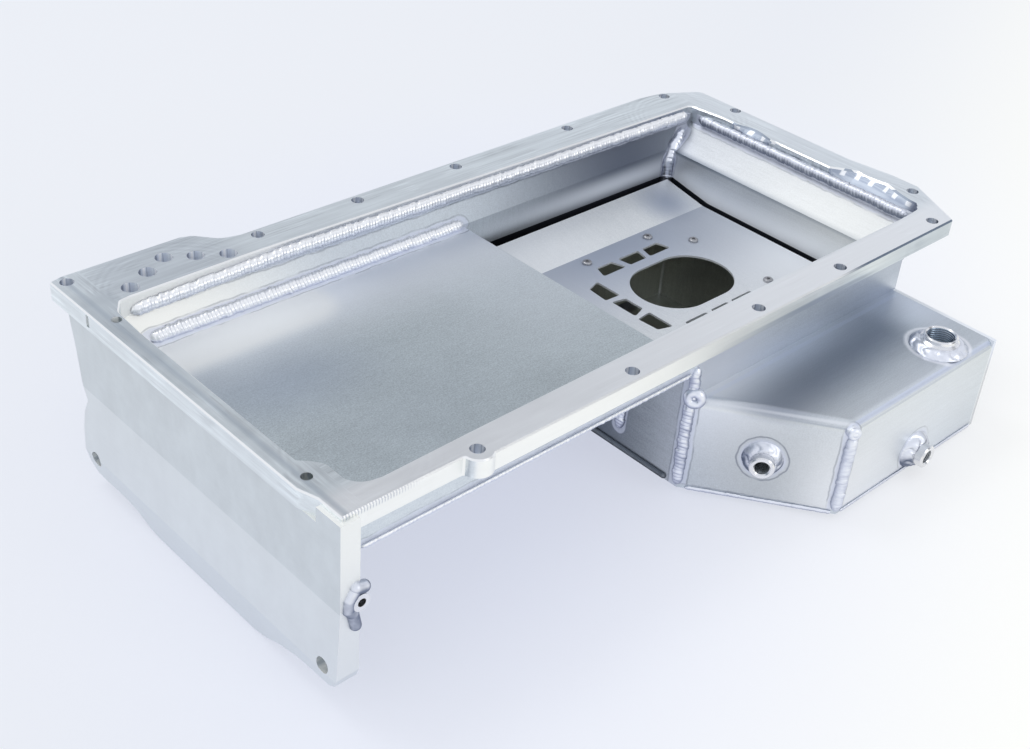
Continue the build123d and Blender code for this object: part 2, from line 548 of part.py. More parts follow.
corner_x, corner_y = SUMP_X + 0.2, FRONT_Y + 0.5
weld_sump_rear = bead([(corner_x, corner_y, -22.0), (corner_x, corner_y, SUMP_Z + 5.0)], 3.9)
weld_sump_rear += Pos(corner_x, FRONT_Y - 1.0, KICK_Z + 2.0) * Sphere(6.6)
weld_kick_corner = bead([(KICK_X, KICK_Y + 1.0, KICK_Z - 7.0), (KICK_X, KICK_Y + 1.0, SUMP_Z + 5.0)], 3.8)
weld_kick_corner += Pos(KICK_X, KICK_Y + 2.0, KICK_Z - 6.0) * Sphere(5.2)
joined = [sump_rear, kick_shell, sump_floor, shallow_front, shallow_floor, weld_shallow_front]
joined += [weld_rail_front, rail]
for other in joined:
    weld_sump_rear -= other
for other in (kick_shell, sump_floor):
    weld_kick_corner -= other
weld_sump_rear = biggest(weld_sump_rear - block(SUMP_IN_X, KICK_X, FRONT_IN, 60.0, BELOW, 0.0))
weld_kick_corner = biggest(weld_kick_corner - cavity)

stitch_y = 66.0
weld_stitch = bead([(SUMP_X, stitch_y, KICK_Z - 12.0), (SUMP_X, stitch_y, SUMP_Z + 18.0)], 4.2)
weld_stitch = biggest(weld_stitch - sump_rear)

weld_plate_side = bead([(PLATE_X1, BACK_LOW_Y[0] - 11.5, FLOOR_BOT), (PLATE_X1, 26.0, FLOOR_BOT)], 4.0)
weld_plate_side = biggest(weld_plate_side - plate - shallow_floor - back_wall)
weld_floor_rear = bead([(SUMP_X, rear_back_y - 15.0, FLOOR_BOT), (SUMP_X, 26.0, FLOOR_BOT)], 3.6)
weld_floor_rear = biggest(weld_floor_rear - sump_rear - shallow_floor - back_wall)

bottom_ends = (24.0, rear_back_y - 7.0)
weld_bottom_rear = bead([(SUMP_X, y, SUMP_IN_Z - 0.6) for y in bottom_ends], 2.2)
weld_bottom_rear -= block(0.0, KICK_X, 0.0, PAST_BACK, BELOW - 5.0, SUMP_Z)
weld_bottom_rear = biggest(weld_bottom_rear - sump_rear - sump_floor)

parts = {
    "rail": rail,
    "bellhousing_plate": plate,
    "plate_boss": boss,
    "back_wall": back_wall,
    "far_wall": far_wall,
    "shallow_front_wall": shallow_front,
    "shallow_floor": shallow_floor,
    "sump_rear_wall": sump_rear,
    "kickout_shell": kick_shell,
    "sump_floor": sump_floor,
    "baffle_tray": tray,
    "baffle_box": box,
    "tray_screws": screws,
    "tray_nuts": nuts,
    "bung_top": bung_top,
    "bung_side": bung_side,
    "bung_angled": bung_angle,
    "weld_bung_top": weld_top,
    "weld_bung_side": weld_side,
    "weld_bung_angled": weld_angle,
    "weld_plate_boss": boss_weld,
    "weld_rail_back": weld_rail_back,
    "weld_rail_far": weld_rail_far,
    "weld_rail_front": weld_rail_front,
    "weld_floor_back": weld_floor_back,
    "weld_wall_corner": weld_corner,
    "weld_shallow_front": weld_shallow_front,
    "weld_sump_rear_corner": weld_sump_rear,
    "weld_kickout_corner": weld_kick_corner,
    "weld_rear_wall_stitch": weld_stitch,
    "weld_plate_floor": weld_plate_side,
    "weld_floor_rear": weld_floor_rear,
    "weld_bottom_rear": weld_bottom_rear,
}

for name, shape in parts.items():
    export_step(Pos(-ORIGIN_X, -ORIGIN_Y, 0.0) * shape, f"parts/{name}.step")
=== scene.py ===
import math
import random

import bpy
from mathutils import Matrix, Vector, noise

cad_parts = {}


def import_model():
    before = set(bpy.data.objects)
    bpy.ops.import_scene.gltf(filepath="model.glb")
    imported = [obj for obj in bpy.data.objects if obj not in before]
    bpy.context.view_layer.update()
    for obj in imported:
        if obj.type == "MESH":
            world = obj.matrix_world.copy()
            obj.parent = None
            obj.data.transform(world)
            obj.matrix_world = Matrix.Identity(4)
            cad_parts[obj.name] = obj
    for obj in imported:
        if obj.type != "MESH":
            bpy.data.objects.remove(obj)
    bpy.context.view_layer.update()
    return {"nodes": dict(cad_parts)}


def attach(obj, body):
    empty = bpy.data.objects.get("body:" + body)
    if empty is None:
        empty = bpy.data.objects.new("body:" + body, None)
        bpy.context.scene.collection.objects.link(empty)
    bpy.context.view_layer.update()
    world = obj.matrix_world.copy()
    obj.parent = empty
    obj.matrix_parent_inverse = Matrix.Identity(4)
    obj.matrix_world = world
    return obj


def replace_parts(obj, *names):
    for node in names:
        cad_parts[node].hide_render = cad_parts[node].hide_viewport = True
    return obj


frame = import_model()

nodes = frame["nodes"]

# Working coordinates in millimetres, as the part's source uses them, to the row frame in metres
ORIGIN_X = 309.5
ORIGIN_Y = 134.0


def at(x, y, z):
    return Vector(((x - ORIGIN_X) / 1000, (y - ORIGIN_Y) / 1000, z / 1000))


def mm(value):
    return value / 1000


RAIL_T = 12.0
FRONT_Y = 12.5
FLOOR_Z = -28.0
FLOOR_BOT = -31.0
SUMP_X = 277.0
FAR_IN_X = 492.0
FAR_TOP_X = 519.0
SUMP_Z = -120.0
KICK_Z = -50.0
KICK_Y = -69.5
KICK_X = 337.0
TOP_BUNG = (456.0, -49.0)
TOP_BORE = 9.25
SIDE_BUNG = (417.5, -105.5)
SMALL_BORE = 4.6
ANGLE_BUNG_ALONG = 50.0
ANGLE_BUNG_Z = -86.5
ANGLE_LEN = math.hypot(KICK_X - SUMP_X, KICK_Y - FRONT_Y)
ANGLE_DIR = ((KICK_X - SUMP_X) / ANGLE_LEN, (KICK_Y - FRONT_Y) / ANGLE_LEN)
ANGLE_OUT = Vector((ANGLE_DIR[1], -ANGLE_DIR[0], 0))
ANGLE_XY = (SUMP_X + ANGLE_BUNG_ALONG * ANGLE_DIR[0], FRONT_Y + ANGLE_BUNG_ALONG * ANGLE_DIR[1])

# The back wall's inner face: its y at the plate and at the far end, above and below the fold
BACK_START_X = 14.0
BACK_TOP_Y = (242.6, 231.4)
BACK_LOW_Y = (231.5, 227.5)

# Weld in the inner back corner: its upper end and its upright part. Then the stitch and lower ends
KNEE_XYZ = (508.0, 229.5, -15.0)
CORNER_XY = (489.5, 225.3)
STITCH_Y = 66.0
BEAD_FOOT_Z = -117.5
BOTTOM_BEAD_Z = -118.9


def back_top_y(x):
    t = (x - BACK_START_X) / (FAR_TOP_X - BACK_START_X)
    return BACK_TOP_Y[0] + (BACK_TOP_Y[1] - BACK_TOP_Y[0]) * t


def back_low_y(x):
    t = (x - BACK_START_X) / (FAR_IN_X - BACK_START_X)
    return BACK_LOW_Y[0] + (BACK_LOW_Y[1] - BACK_LOW_Y[0]) * t


class Shader:
    """A metal's node tree, with short names for its nodes. x, y, z are the place, nx, ny, nz the normal."""

    def __init__(self, name, metallic=1.0, roughness=0.3, color=(0.7, 0.7, 0.72)):
        self.mat = bpy.data.materials.new(name)
        self.mat.use_nodes = True
        self.tree = self.mat.node_tree
        self.tree.nodes.clear()
        self.out = self.node("ShaderNodeOutputMaterial")
        self.bsdf = self.node("ShaderNodeBsdfPrincipled")
        self.bsdf.inputs["Metallic"].default_value = metallic
        self.bsdf.inputs["Roughness"].default_value = roughness
        self.bsdf.inputs["Base Color"].default_value = (*color, 1)
        self.link(self.bsdf.outputs[0], self.out.inputs[0])
        coord = self.node("ShaderNodeTexCoord")
        self.pos = coord.outputs["Object"]
        split = self.node("ShaderNodeSeparateXYZ")
        self.link(self.pos, split.inputs[0])
        self.x, self.y, self.z = split.outputs
        geometry = self.node("ShaderNodeNewGeometry")
        normal = self.node("ShaderNodeSeparateXYZ")
        self.link(geometry.outputs["Normal"], normal.inputs[0])
        self.nx, self.ny, self.nz = normal.outputs

    def node(self, kind):
        return self.tree.nodes.new(kind)

    def link(self, a, b):
        self.tree.links.new(a, b)

    def put(self, socket, value):
        if isinstance(value, bpy.types.NodeSocket):
            self.link(value, socket)
        else:
            socket.default_value = value

    def math(self, op, a, b=None, clamp=False):
        n = self.node("ShaderNodeMath")
        n.operation = op
        n.use_clamp = clamp
        for socket, value in zip(n.inputs, (a, b)):
            if value is not None:
                self.put(socket, value)
        return n.outputs[0]

    def vector(self, op, a, b=None, scale=None):
        n = self.node("ShaderNodeVectorMath")
        n.operation = op
        self.put(n.inputs[0], a)
        if b is not None:
            self.put(n.inputs[1], b)
        if scale is not None:
            self.put(n.inputs["Scale"], scale)
        return n.outputs["Value"] if op in ("LENGTH", "DOT_PRODUCT") else n.outputs[0]

    def noise(self, scale, stretch=(1, 1, 1), detail=3.0, rough=0.5, offset=(0, 0, 0)):
        n = self.node("ShaderNodeTexNoise")
        n.inputs["Scale"].default_value = scale
        n.inputs["Detail"].default_value = detail
        n.inputs["Roughness"].default_value = rough
        moved = self.vector("ADD", self.pos, offset)
        self.link(self.vector("MULTIPLY", moved, stretch), n.inputs["Vector"])
        return n.outputs[0]

    def ramp(self, value, low, high, to_low=0.0, to_high=1.0, smooth=True):
        n = self.node("ShaderNodeMapRange")
        n.interpolation_type = "SMOOTHSTEP" if smooth else "LINEAR"
        self.put(n.inputs["Value"], value)
        for key, item in (("From Min", low), ("From Max", high), ("To Min", to_low), ("To Max", to_high)):
            self.put(n.inputs[key], item)
        return n.outputs["Result"]

    def mix(self, factor, a, b):
        n = self.node("ShaderNodeMix")
        n.data_type = "RGBA"
        self.put(n.inputs["Factor"], factor)
        colour = [s for s in n.inputs if s.type == "RGBA"]
        for socket, value in zip(colour, (a, b)):
            self.put(socket, (*value, 1) if isinstance(value, tuple) else value)
        return [s for s in n.outputs if s.type == "RGBA"][0]

    def over(self, value, limit):
        return self.math("GREATER_THAN", value, limit)

    def below(self, value, limit):
        return self.math("LESS_THAN", value, limit)

    def off(self, value, centre):
        return self.math("ABSOLUTE", self.math("SUBTRACT", value, centre))

    def band(self, value, centre, half):
        return self.ramp(self.off(value, centre), 0.0, half, 1.0, 0.0)

    def distance(self, point, keep=(1, 1, 1)):
        """Distance to a point, each axis weighed by keep."""
        away = self.vector("SUBTRACT", self.pos, tuple(point))
        return self.vector("LENGTH", self.vector("MULTIPLY", away, keep))

    def segment(self, a, b, keep=(1, 1, 1)):
        """Distance to the straight line from a to b, each axis weighed by keep."""
        span = Vector(b) - Vector(a)
        rel = self.vector("SUBTRACT", self.pos, tuple(a))
        if span.length < 1e-6:
            return self.vector("LENGTH", rel)
        along = self.vector("DOT_PRODUCT", rel, tuple(span))
        t = self.math("DIVIDE", along, span.length_squared, clamp=True)
        nearest = self.vector("SCALE", tuple(span), scale=t)
        return self.vector("LENGTH", self.vector("MULTIPLY", self.vector("SUBTRACT", rel, nearest), keep))

    def add(self, *values):
        total = values[0]
        for value in values[1:]:
            total = self.math("ADD", total, value)
        return total

    def times(self, *values):
        total = values[0]
        for value in values[1:]:
            total = self.math("MULTIPLY", total, value)
        return total

    def highest(self, values):
        total = values[0]
        for value in values[1:]:
            total = self.math("MAXIMUM", total, value)
        return total

    def scaled(self, value, factor):
        return self.math("MULTIPLY", value, factor)

    def centred(self, value, factor):
        """How far a noise value lies from its middle, times factor."""
        return self.scaled(self.math("SUBTRACT", value, 0.5), factor)

    def bump(self, height, distance, strength):
        n = self.node("ShaderNodeBump")
        n.inputs["Strength"].default_value = strength
        n.inputs["Distance"].default_value = distance
        self.link(height, n.inputs["Height"])
        return n.outputs[0]

    def finish(self, color, rough, normal):
        self.link(color, self.bsdf.inputs["Base Color"])
        self.link(rough, self.bsdf.inputs["Roughness"])
        self.link(normal, self.bsdf.inputs["Normal"])
        return self.mat


# Weights of the axes in a distance: to a line along x or z, to a level, or to a point
LINE_X = (0, 1, 1)
LINE_Z = (1, 1, 0)
ONLY_Z = (0, 0, 1)
ROUND = (1, 1, 1)
# A normal's z above which its face counts as level
LEVEL_NZ = 0.993

HEAT_TINT = (0.76, 0.79, 0.90)
HEAT_EDGE = (0.20, 0.22, 0.27)
# Painted light and shade: UNLIT is painted shadow, SIDE_LIGHT painted light on sides, CHAMFER_HIGHLIGHT a
# painted highlight on chamfers
UNLIT = (0.012, 0.014, 0.020)
SIDE_LIGHT = (1.0, 1.0, 0.96)
CHAMFER_HIGHLIGHT = (0.99, 0.99, 0.97)
COOL = (0.94, 1.0, 1.03)
PLATE_TINT = (0.965, 1.015, 1.03)
# Painted light and shade on the sheets: PALE and CREAM paint highlights and reflections, DARK_BAND shade
# along a crease, DIM shade
PALE = (0.86, 0.89, 0.94)
CREAM = (0.93, 0.92, 0.86)
DARK_BAND = (0.30, 0.34, 0.40)
DIM = (0.32, 0.37, 0.44)
# Painted reflection in a bore: upright light and dark bands, by the way that its wall faces: centre, half
# width, tone
BORE_REFLECTION_BANDS = (
    (-0.95, 0.16, (0.22, 0.25, 0.32)),
    (-0.58, 0.26, (1.0, 1.0, 1.0)),
    (-0.32, 0.09, (0.42, 0.46, 0.54)),
    (0.48, 0.08, (0.60, 0.65, 0.70)),
    (0.70, 0.24, (1.0, 1.0, 1.0)),
    (0.98, 0.20, (0.14, 0.17, 0.23)),
)
# Corners of the rail where a face cutter left arcs: centre and the arcs' outer radius
SWIRLS = ((at(60, 236, 0), 60.0), (at(40, 44, 0), 52.0), (at(500, 44, 0), 60.0), (at(500, 222, 0), 56.0))


def sheet_material(name, grain, base=0.66, rough=0.25, heat=(), fades=(), matte=(), tint=(0.93, 1.0, 1.06),
                   streak=0.05, speckle=0.24, shade_line=None, dark_below=None, flat_fades=(), halos=(),
                   folds=()):
    """Rolled sheet: fine lines along its grain, soft clouds, pale etched zones beside each weld, and painted
    light and shade.

    Lengths are in millimetres.
    heat: (a, b, reach, edge), the etched zone along a weld from a to b and the strength of its dark outline
    fades: (point, keep, reach, strength, colour), painted reflections, highlights and shade, and flat_fades
    the same on level faces alone
    matte: (point, keep, reach, strength)
    halos: (point, radius, half width, strength, colour)
    folds: (a, b, half width, strength, colour), painted highlight and shade lines along folds, or a painted
    reflection band
    dark_below: (z, rise, from y, to y, from x), the unlit gap under the tray's edge
    """
    s = Shader(name)
    across = [1.0, 1.0, 1.0]
    across[grain] = streak
    lines = s.noise(2300.0, tuple(across), 2.0, 0.6)
    streaks = s.noise(420.0, tuple(across), 3.0, 0.65, offset=(0.3, 0.1, 0.2))
    speck = s.noise(1100.0, detail=2.0)
    clouds = s.noise(16.0, detail=3.0, rough=0.55)
    wander = s.noise(90.0, detail=3.0, offset=(0.7, 0.2, 0.4))
    broken = s.noise(60.0, detail=2.0, offset=(0.1, 0.9, 0.6))
    level = s.add(
        s.centred(lines, 0.16),
        s.centred(streaks, 0.12),
        s.centred(speck, speckle),
        s.centred(clouds, 0.12),
    )
    low = tuple(max(0.0, (base - 0.22) * t) for t in tint)
    high = tuple(min(1.0, (base + 0.22) * t) for t in tint)
    color = s.mix(s.ramp(level, -0.22, 0.22, smooth=False), low, high)
    roughness = s.add(rough, s.scaled(lines, 0.08), s.scaled(clouds, 0.10))
    # Painted reflections, highlights and shade, laid on as colour
    for point, keep, reach, strength, shade in fades:
        near = s.ramp(s.distance(point, keep), 0.0, mm(reach), strength, 0.0)
        color = s.mix(near, color, shade)
    for point, keep, reach, strength, shade in flat_fades:
        near = s.ramp(s.distance(point, keep), 0.0, mm(reach), strength, 0.0)
        color = s.mix(s.times(near, s.over(s.nz, LEVEL_NZ)), color, shade)
    if shade_line:
        a, b, keep, reach, strength, shade = shade_line
        near = s.ramp(s.segment(a, b, keep), 0.0, mm(reach), strength, 0.0)
        color = s.mix(near, color, shade)
    for a, b, half, strength, shade in folds:
        near = s.ramp(s.segment(a, b), mm(half * 0.5), mm(half), strength, 0.0)
        color = s.mix(near, color, shade)
    dull = [
        s.ramp(s.distance(point, keep), 0.0, mm(reach), strength, 0.0)
        for point, keep, reach, strength in matte
    ]
    zones = []
    edges = []
    for a, b, reach, edge in heat:
        away = s.add(s.segment(a, b), s.centred(wander, mm(3.0)))
        zones.append(s.ramp(away, mm(reach * 0.8), mm(reach), 1.0, 0.0))
        if edge:
            edges.append(s.scaled(s.band(away, mm(reach), mm(0.9)), edge))
    if zones:
        zone = s.highest(zones)
        color = s.mix(s.scaled(zone, 0.6), color, HEAT_TINT)
        roughness = s.add(roughness, s.scaled(zone, 0.13))
        dull.append(s.scaled(zone, 0.3))
    if edges:
        line = s.times(s.highest(edges), s.ramp(broken, 0.35, 0.55, 0.25, 1.0))
        color = s.mix(line, color, HEAT_EDGE)
    for point, radius, half, strength, shade in halos:
        away = s.add(s.distance(point), s.centred(wander, mm(3.0)))
        near = s.times(s.band(away, mm(radius), mm(half)), s.ramp(s.nz, 0.5, 0.9, 0.0, strength))
        color = s.mix(near, color, shade)
    if dull:
        s.link(s.math("SUBTRACT", 1.0, s.highest(dull)), s.bsdf.inputs["Metallic"])
    if dark_below:
        level_z, rise, from_y, to_y, from_x = dark_below
        low_y, high_y = mm(from_y - ORIGIN_Y), mm(to_y - ORIGIN_Y)
        edge_z = s.ramp(s.y, low_y, high_y, mm(level_z), mm(level_z + rise), smooth=False)
        under = s.ramp(s.math("SUBTRACT", edge_z, s.z), mm(-0.15), mm(0.15))
        inner = s.times(s.below(s.add(s.nx, s.ny), -0.3), s.over(s.y, mm(FRONT_Y + 1.5 - ORIGIN_Y)))
        under = s.times(under, s.over(s.x, mm(from_x - ORIGIN_X)), inner)
        color = s.mix(under, color, UNLIT)
    height = s.add(s.scaled(lines, 0.5), s.scaled(speck, 0.6), s.scaled(streaks, 0.4))
    return s.finish(color, roughness, s.bump(height, mm(0.025), 0.4))


def hole_light(s, color, holes):
    """Inside each hole: painted reflection, upright light and dark bands as a reamed bore shows them."""
    inside = s.highest([
        s.below(s.math("SUBTRACT", s.distance(at(x, y, 0), LINE_Z), mm(r)), mm(0.25))
        for x, y, r in holes
    ])
    inside = s.times(inside, s.below(s.math("ABSOLUTE", s.nz), 0.5))
    across = s.math("SUBTRACT", s.scaled(s.ny, 0.68), s.scaled(s.nx, 0.73))
    shade = s.mix(s.ramp(across, -0.2, 0.5), (0.64, 0.69, 0.78), (0.88, 0.92, 0.95))
    for centre, half, tone in BORE_REFLECTION_BANDS:
        shade = s.mix(s.band(across, centre, half), shade, tone)
    return inside, s.mix(inside, color, shade)


def machined_material(name, base=0.88, rough=0.2, steps=(), holes=()):
    """Milled plate: long tool lanes, cutter marks, and painted light on its sides and chamfers.

    steps: (height, colour), painted light and shade of the bellhousing plate's facets below each step line.
    Without them the tones are the rail's.
    """
    s = Shader(name)
    end_zone = s.over(s.off(s.x, mm(-38.0)), mm(252.0))
    lanes = []
    for scale, offset in ((900.0, 0.0), (230.0, 0.4), (420.0, 0.7)):
        n = s.node("ShaderNodeMix")
        s.put(n.inputs[0], end_zone)
        s.put(n.inputs[2], s.noise(scale, (0.03, 1.0, 1.0), 2.0, 0.6, offset=(0.0, offset, 0.0)))
        s.put(n.inputs[3], s.noise(scale, (1.0, 0.03, 1.0), 2.0, 0.6, offset=(offset, 0.0, 0.0)))
        lanes.append(n.outputs[0])
    tool, lane, streak = lanes
    smear = s.noise(45.0, (0.6, 1.4, 1.0), 3.0, 0.6, offset=(0.1, 0.5, 0.3))
    clouds = s.noise(11.0, detail=2.0, offset=(0.5, 0.5, 0.5))
    level = s.add(s.centred(smear, 0.26), s.centred(clouds, 0.14))
    if not steps:
        level = s.add(level, cutter_marks(s, tool, lane, streak, smear))
    tint = PLATE_TINT if steps else COOL
    low = tuple((base - 0.26) * t for t in tint)
    high = tuple(min(1.0, (base + 0.10) * t) for t in tint)
    color = s.mix(s.ramp(level, -0.26, 0.26, smooth=False), low, high)

    upright = s.ramp(s.math("ABSOLUTE", s.nz), 0.15, 0.35, 1.0, 0.0)
    faces_kick = s.times(upright, s.ramp(s.ny, -0.8, -0.5, 1.0, 0.0))
    slope = s.times(s.ramp(s.nz, 0.15, 0.25), s.ramp(s.nz, 0.90, 0.97, 1.0, 0.0))
    shallow = s.over(s.z, mm(-1.3))
    roughness = s.add(rough, s.scaled(tool, 0.14), s.scaled(smear, 0.12))
    if steps:
        color, side = plate_tones(s, color, steps, upright, faces_kick)
        # Painted highlight on the plate's chamfers
        color = s.mix(s.times(slope, shallow), color, CHAMFER_HIGHLIGHT)
    else:
        color, side, scallop, inner_back = rail_tones(
            s, color, lane, smear, upright, faces_kick, slope, shallow)
        roughness = s.add(roughness, s.scaled(scallop, 0.22))
    roughness = s.add(roughness, s.scaled(side, 0.12))
    if holes:
        inside, color = hole_light(s, color, holes)
        dull_side = s.times(upright, inner_back, s.ramp(s.x, mm(-185.0), mm(-160.0), 0.9, 0.0))
        near_pad = s.ramp(s.distance(at(68.8, 260.0, 0), LINE_Z), mm(44.0), mm(46.0), 0.9, 0.4)
        dull = s.highest([s.times(inside, near_pad), dull_side])
        s.link(s.math("SUBTRACT", 1.0, dull), s.bsdf.inputs["Metallic"])
    return s.finish(color, roughness, s.bump(s.add(tool, s.scaled(lane, 0.6)), mm(0.02), 0.4))


def cutter_marks(s, tool, lane, streak, smear):
    """Lanes and streaks of the rail's milling, and the arcs of a face cutter at its four corners."""
    patchy = s.ramp(s.noise(30.0, detail=2.0, offset=(0.6, 0.2, 0.9)), 0.42, 0.60)
    level = s.add(
        s.centred(tool, 0.22),
        s.centred(lane, 0.46),
        s.times(s.ramp(streak, 0.56, 0.62, 0.0, 0.16), patchy),
        s.times(s.ramp(streak, 0.38, 0.44, -0.16, 0.0), patchy),
    )
    for centre, spread in SWIRLS:
        away = s.distance(centre, LINE_Z)
        wave = s.math("SINE", s.add(s.scaled(away, 1500.0), s.scaled(smear, 9.0)))
        near = s.ramp(s.off(away, mm(spread * 0.72)), 0.0, mm(spread * 0.3), 0.07, 0.0)
        level = s.add(level, s.times(wave, near, patchy))
    return level


def side_tone(s, upright, toward_end):
    """Painted light: how bright the sides that face the kick-out are, and those that face the plate's end."""
    right_part = s.ramp(s.x, mm(-60.0), mm(130.0), 0.9, 0.1)
    toward_kick = s.times(s.ramp(s.ny, -0.8, -0.5, 1.0, 0.0), right_part)
    return s.times(upright, s.highest([toward_kick, s.ramp(s.nx, -0.8, -0.5, toward_end, 0.0)]))


def plate_tones(s, color, steps, upright, faces_kick):
    """The plate's tones: painted light and shade for its facets' tilt below each step line, painted light on
    its top and its edge towards the kick-out, and painted shade lower on that edge.
    """
    for height, shade in steps:
        color = s.mix(s.scaled(s.below(s.z, mm(height)), 0.45), color, shade)
    side = s.highest([side_tone(s, upright, 0.0), s.ramp(s.nz, 0.6, 0.9)])
    color = s.mix(side, color, SIDE_LIGHT)
    color = s.mix(s.times(faces_kick, s.ramp(s.z, mm(-20.0), mm(-80.0), 0.1, 0.4)), color, (0.70, 0.74, 0.79))
    return color, side


def rail_tones(s, color, lane, smear, upright, faces_kick, slope, shallow):
    """The rail's tones, from those of its whole faces to those of its finest marks, most of them painted
    light, shade and glints.
    """
    inner_back = s.times(s.ramp(s.ny, -0.8, -0.5, 1.0, 0.0), s.over(s.y, mm(80.0)))
    side = s.highest([side_tone(s, upright, 0.12), s.times(upright, inner_back)])
    top = s.ramp(s.nz, 0.9, 0.98)
    end = s.times(
        top,
        s.ramp(s.x, mm(-288.0), mm(-284.0), 1.0, 0.0),
        s.ramp(s.y, mm(-10.0), mm(60.0), 0.0, 0.3),
        s.ramp(s.y, mm(112.0), mm(130.0), 1.0, 0.0),
    )
    pad = s.ramp(s.distance(at(62, 262, 0), (0.7, 1, 1)), mm(22.0), mm(44.0), 0.3, 0.0)
    # Painted light: a white strip along the front of the top, a lighter far end of the top, and lit sides.
    # Darker: the top round the pad, the end rail's top, sides facing the kick-out at the far end, and a line
    # across the rail near the plate
    for amount, shade in (
        (s.times(top, s.ramp(s.y, mm(-116.0), mm(-102.0), 0.8, 0.0)), (1.0, 1.0, 1.0)),
        (s.times(top, s.ramp(s.x, mm(200.0), mm(225.0), 0.0, 0.35)), (0.93, 0.96, 0.99)),
        (s.times(top, pad), (0.46, 0.50, 0.56)),
        (end, (0.40, 0.45, 0.50)),
        (side, SIDE_LIGHT),
        (s.times(faces_kick, s.ramp(s.x, mm(90.0), mm(180.0), 0.0, 0.5)), (0.32, 0.39, 0.50)),
        (s.scaled(s.band(s.x, mm(-302.0), mm(3.4)), 0.55), (0.44, 0.50, 0.56)),
    ):
        color = s.mix(amount, color, shade)

    # Scallops beside the two far bolts: grey cut faces with painted glints, darker chamfers, and darkest
    # towards the front
    inner_far = s.times(s.below(s.off(s.x, mm(209.0)), mm(14.0)), s.below(s.nz, 0.9))
    cuts = s.highest([s.below(s.off(s.y, mm(42.0)), mm(18.0)), s.below(s.off(s.y, mm(-78.0)), mm(38.0))])
    cut_zone = s.times(inner_far, cuts)
    scallop = s.highest([cut_zone, s.times(slope, s.math("SUBTRACT", 1.0, shallow))])
    painted_glints = s.ramp(s.math("SINE", s.add(s.scaled(s.y, 530.0), s.scaled(smear, 7.0))), 0.30, 0.75)
    painted_glints = s.times(painted_glints, s.ramp(s.z, mm(-4.6), mm(-3.6)))
    cut = s.mix(s.ramp(lane, 0.4, 0.6), (0.42, 0.47, 0.56), (0.58, 0.63, 0.70))
    cut = s.mix(painted_glints, cut, (0.93, 0.94, 0.95))
    cut = s.mix(s.times(slope, shallow), cut, (0.40, 0.45, 0.52))
    cut = s.mix(s.ramp(s.y, mm(-104.0), mm(-96.0), 0.8, 0.0), cut, (0.12, 0.14, 0.20))
    color = s.mix(scallop, color, cut)
    # Painted highlight on the chamfers outside the scallops
    color = s.mix(s.times(slope, shallow, s.ramp(cut_zone, 0.0, 1.0, 1.0, 0.0)), color, CHAMFER_HIGHLIGHT)

    # Dark band low on the front side, dark line along its top edge, and ticks near the plate
    low_band = s.times(faces_kick, s.ramp(s.z, mm(-7.0), mm(-9.0)), s.band(s.x, mm(60.0), mm(100.0)))
    color = s.mix(s.scaled(low_band, 0.6), color, (0.26, 0.32, 0.44))
    front_edge = s.times(
        s.ramp(s.ny, -0.5, -0.3, 1.0, 0.0),
        shallow,
        s.below(s.y, mm(-100.0)),
        s.ramp(s.x, mm(85.0), mm(120.0), 0.0, 0.9),
    )
    color = s.mix(front_edge, color, (0.12, 0.17, 0.25))
    ticked = s.times(
        s.over(s.math("SINE", s.scaled(s.x, 3400.0)), 0.0),
        s.ramp(s.ny, -0.6, -0.4, 1.0, 0.0),
        s.ramp(s.z, mm(-4.0), mm(-2.2)),
        s.ramp(s.distance(at(4, 7, 0), LINE_Z), mm(30.0), mm(54.0), 0.5, 0.0),
    )
    color = s.mix(ticked, color, (0.42, 0.46, 0.54))
    return color, side, scallop, inner_back


def weld_material(name, dark, light, rough=0.24, metallic=1.0):
    """Weld metal, darker where a ripple's face turns down or away from the light."""
    s = Shader(name, metallic)
    fine = s.noise(900.0, detail=3.0, rough=0.6)
    blotch = s.noise(150.0, detail=2.0, offset=(0.3, 0.3, 0.3))
    facing = s.add(s.scaled(s.nx, -0.42), s.scaled(s.ny, -0.38), s.scaled(s.nz, 0.82))
    level = s.add(s.ramp(facing, -0.1, 0.98, 0.0, 0.9, smooth=False), s.centred(blotch, 0.5))
    color = s.mix(s.ramp(level, 0.15, 0.85), dark, light)
    roughness = s.add(rough, s.scaled(fine, 0.16))
    return s.finish(color, roughness, s.bump(fine, mm(0.08), 0.35))


def lathe_material(name, low=(0.72, 0.72, 0.72), high=(0.92, 0.92, 0.94), rings=None):
    """Turned metal. rings is the pitch in millimetres of a thread, whose crests get a painted highlight."""
    s = Shader(name)
    fine = s.noise(1500.0, detail=2.0)
    clouds = s.noise(90.0, detail=2.0)
    color = s.mix(clouds, low, high)
    if rings:
        turn = s.math("SINE", s.scaled(s.z, 2 * math.pi / mm(rings)))
        color = s.mix(s.ramp(turn, 0.35, 0.75, 0.0, 0.8), color, (0.86, 0.90, 0.95))
    return s.finish(color, s.add(0.16, s.scaled(fine, 0.12)), s.bump(fine, mm(0.01), 0.3))


def screw_material():
    s = Shader("stainless_screw_steel")
    fine = s.noise(2500.0, detail=2.0)
    color = s.mix(fine, (0.34, 0.34, 0.35), (0.58, 0.58, 0.59))
    return s.finish(color, s.add(0.22, s.scaled(fine, 0.12)), s.bump(fine, mm(0.01), 0.3))


def dress(name, material):
    data = nodes[name].data
    data.materials.clear()
    data.materials.append(material)


top_bung_at = at(*TOP_BUNG, KICK_Z)
side_bung_at = at(SIDE_BUNG[0], KICK_Y, SIDE_BUNG[1])
angle_bung_at = at(*ANGLE_XY, ANGLE_BUNG_Z)
corner_at = at(SUMP_X + 0.5, FRONT_Y + 0.5, 0)
kick_at = at(KICK_X, KICK_Y + 1.0, 0)

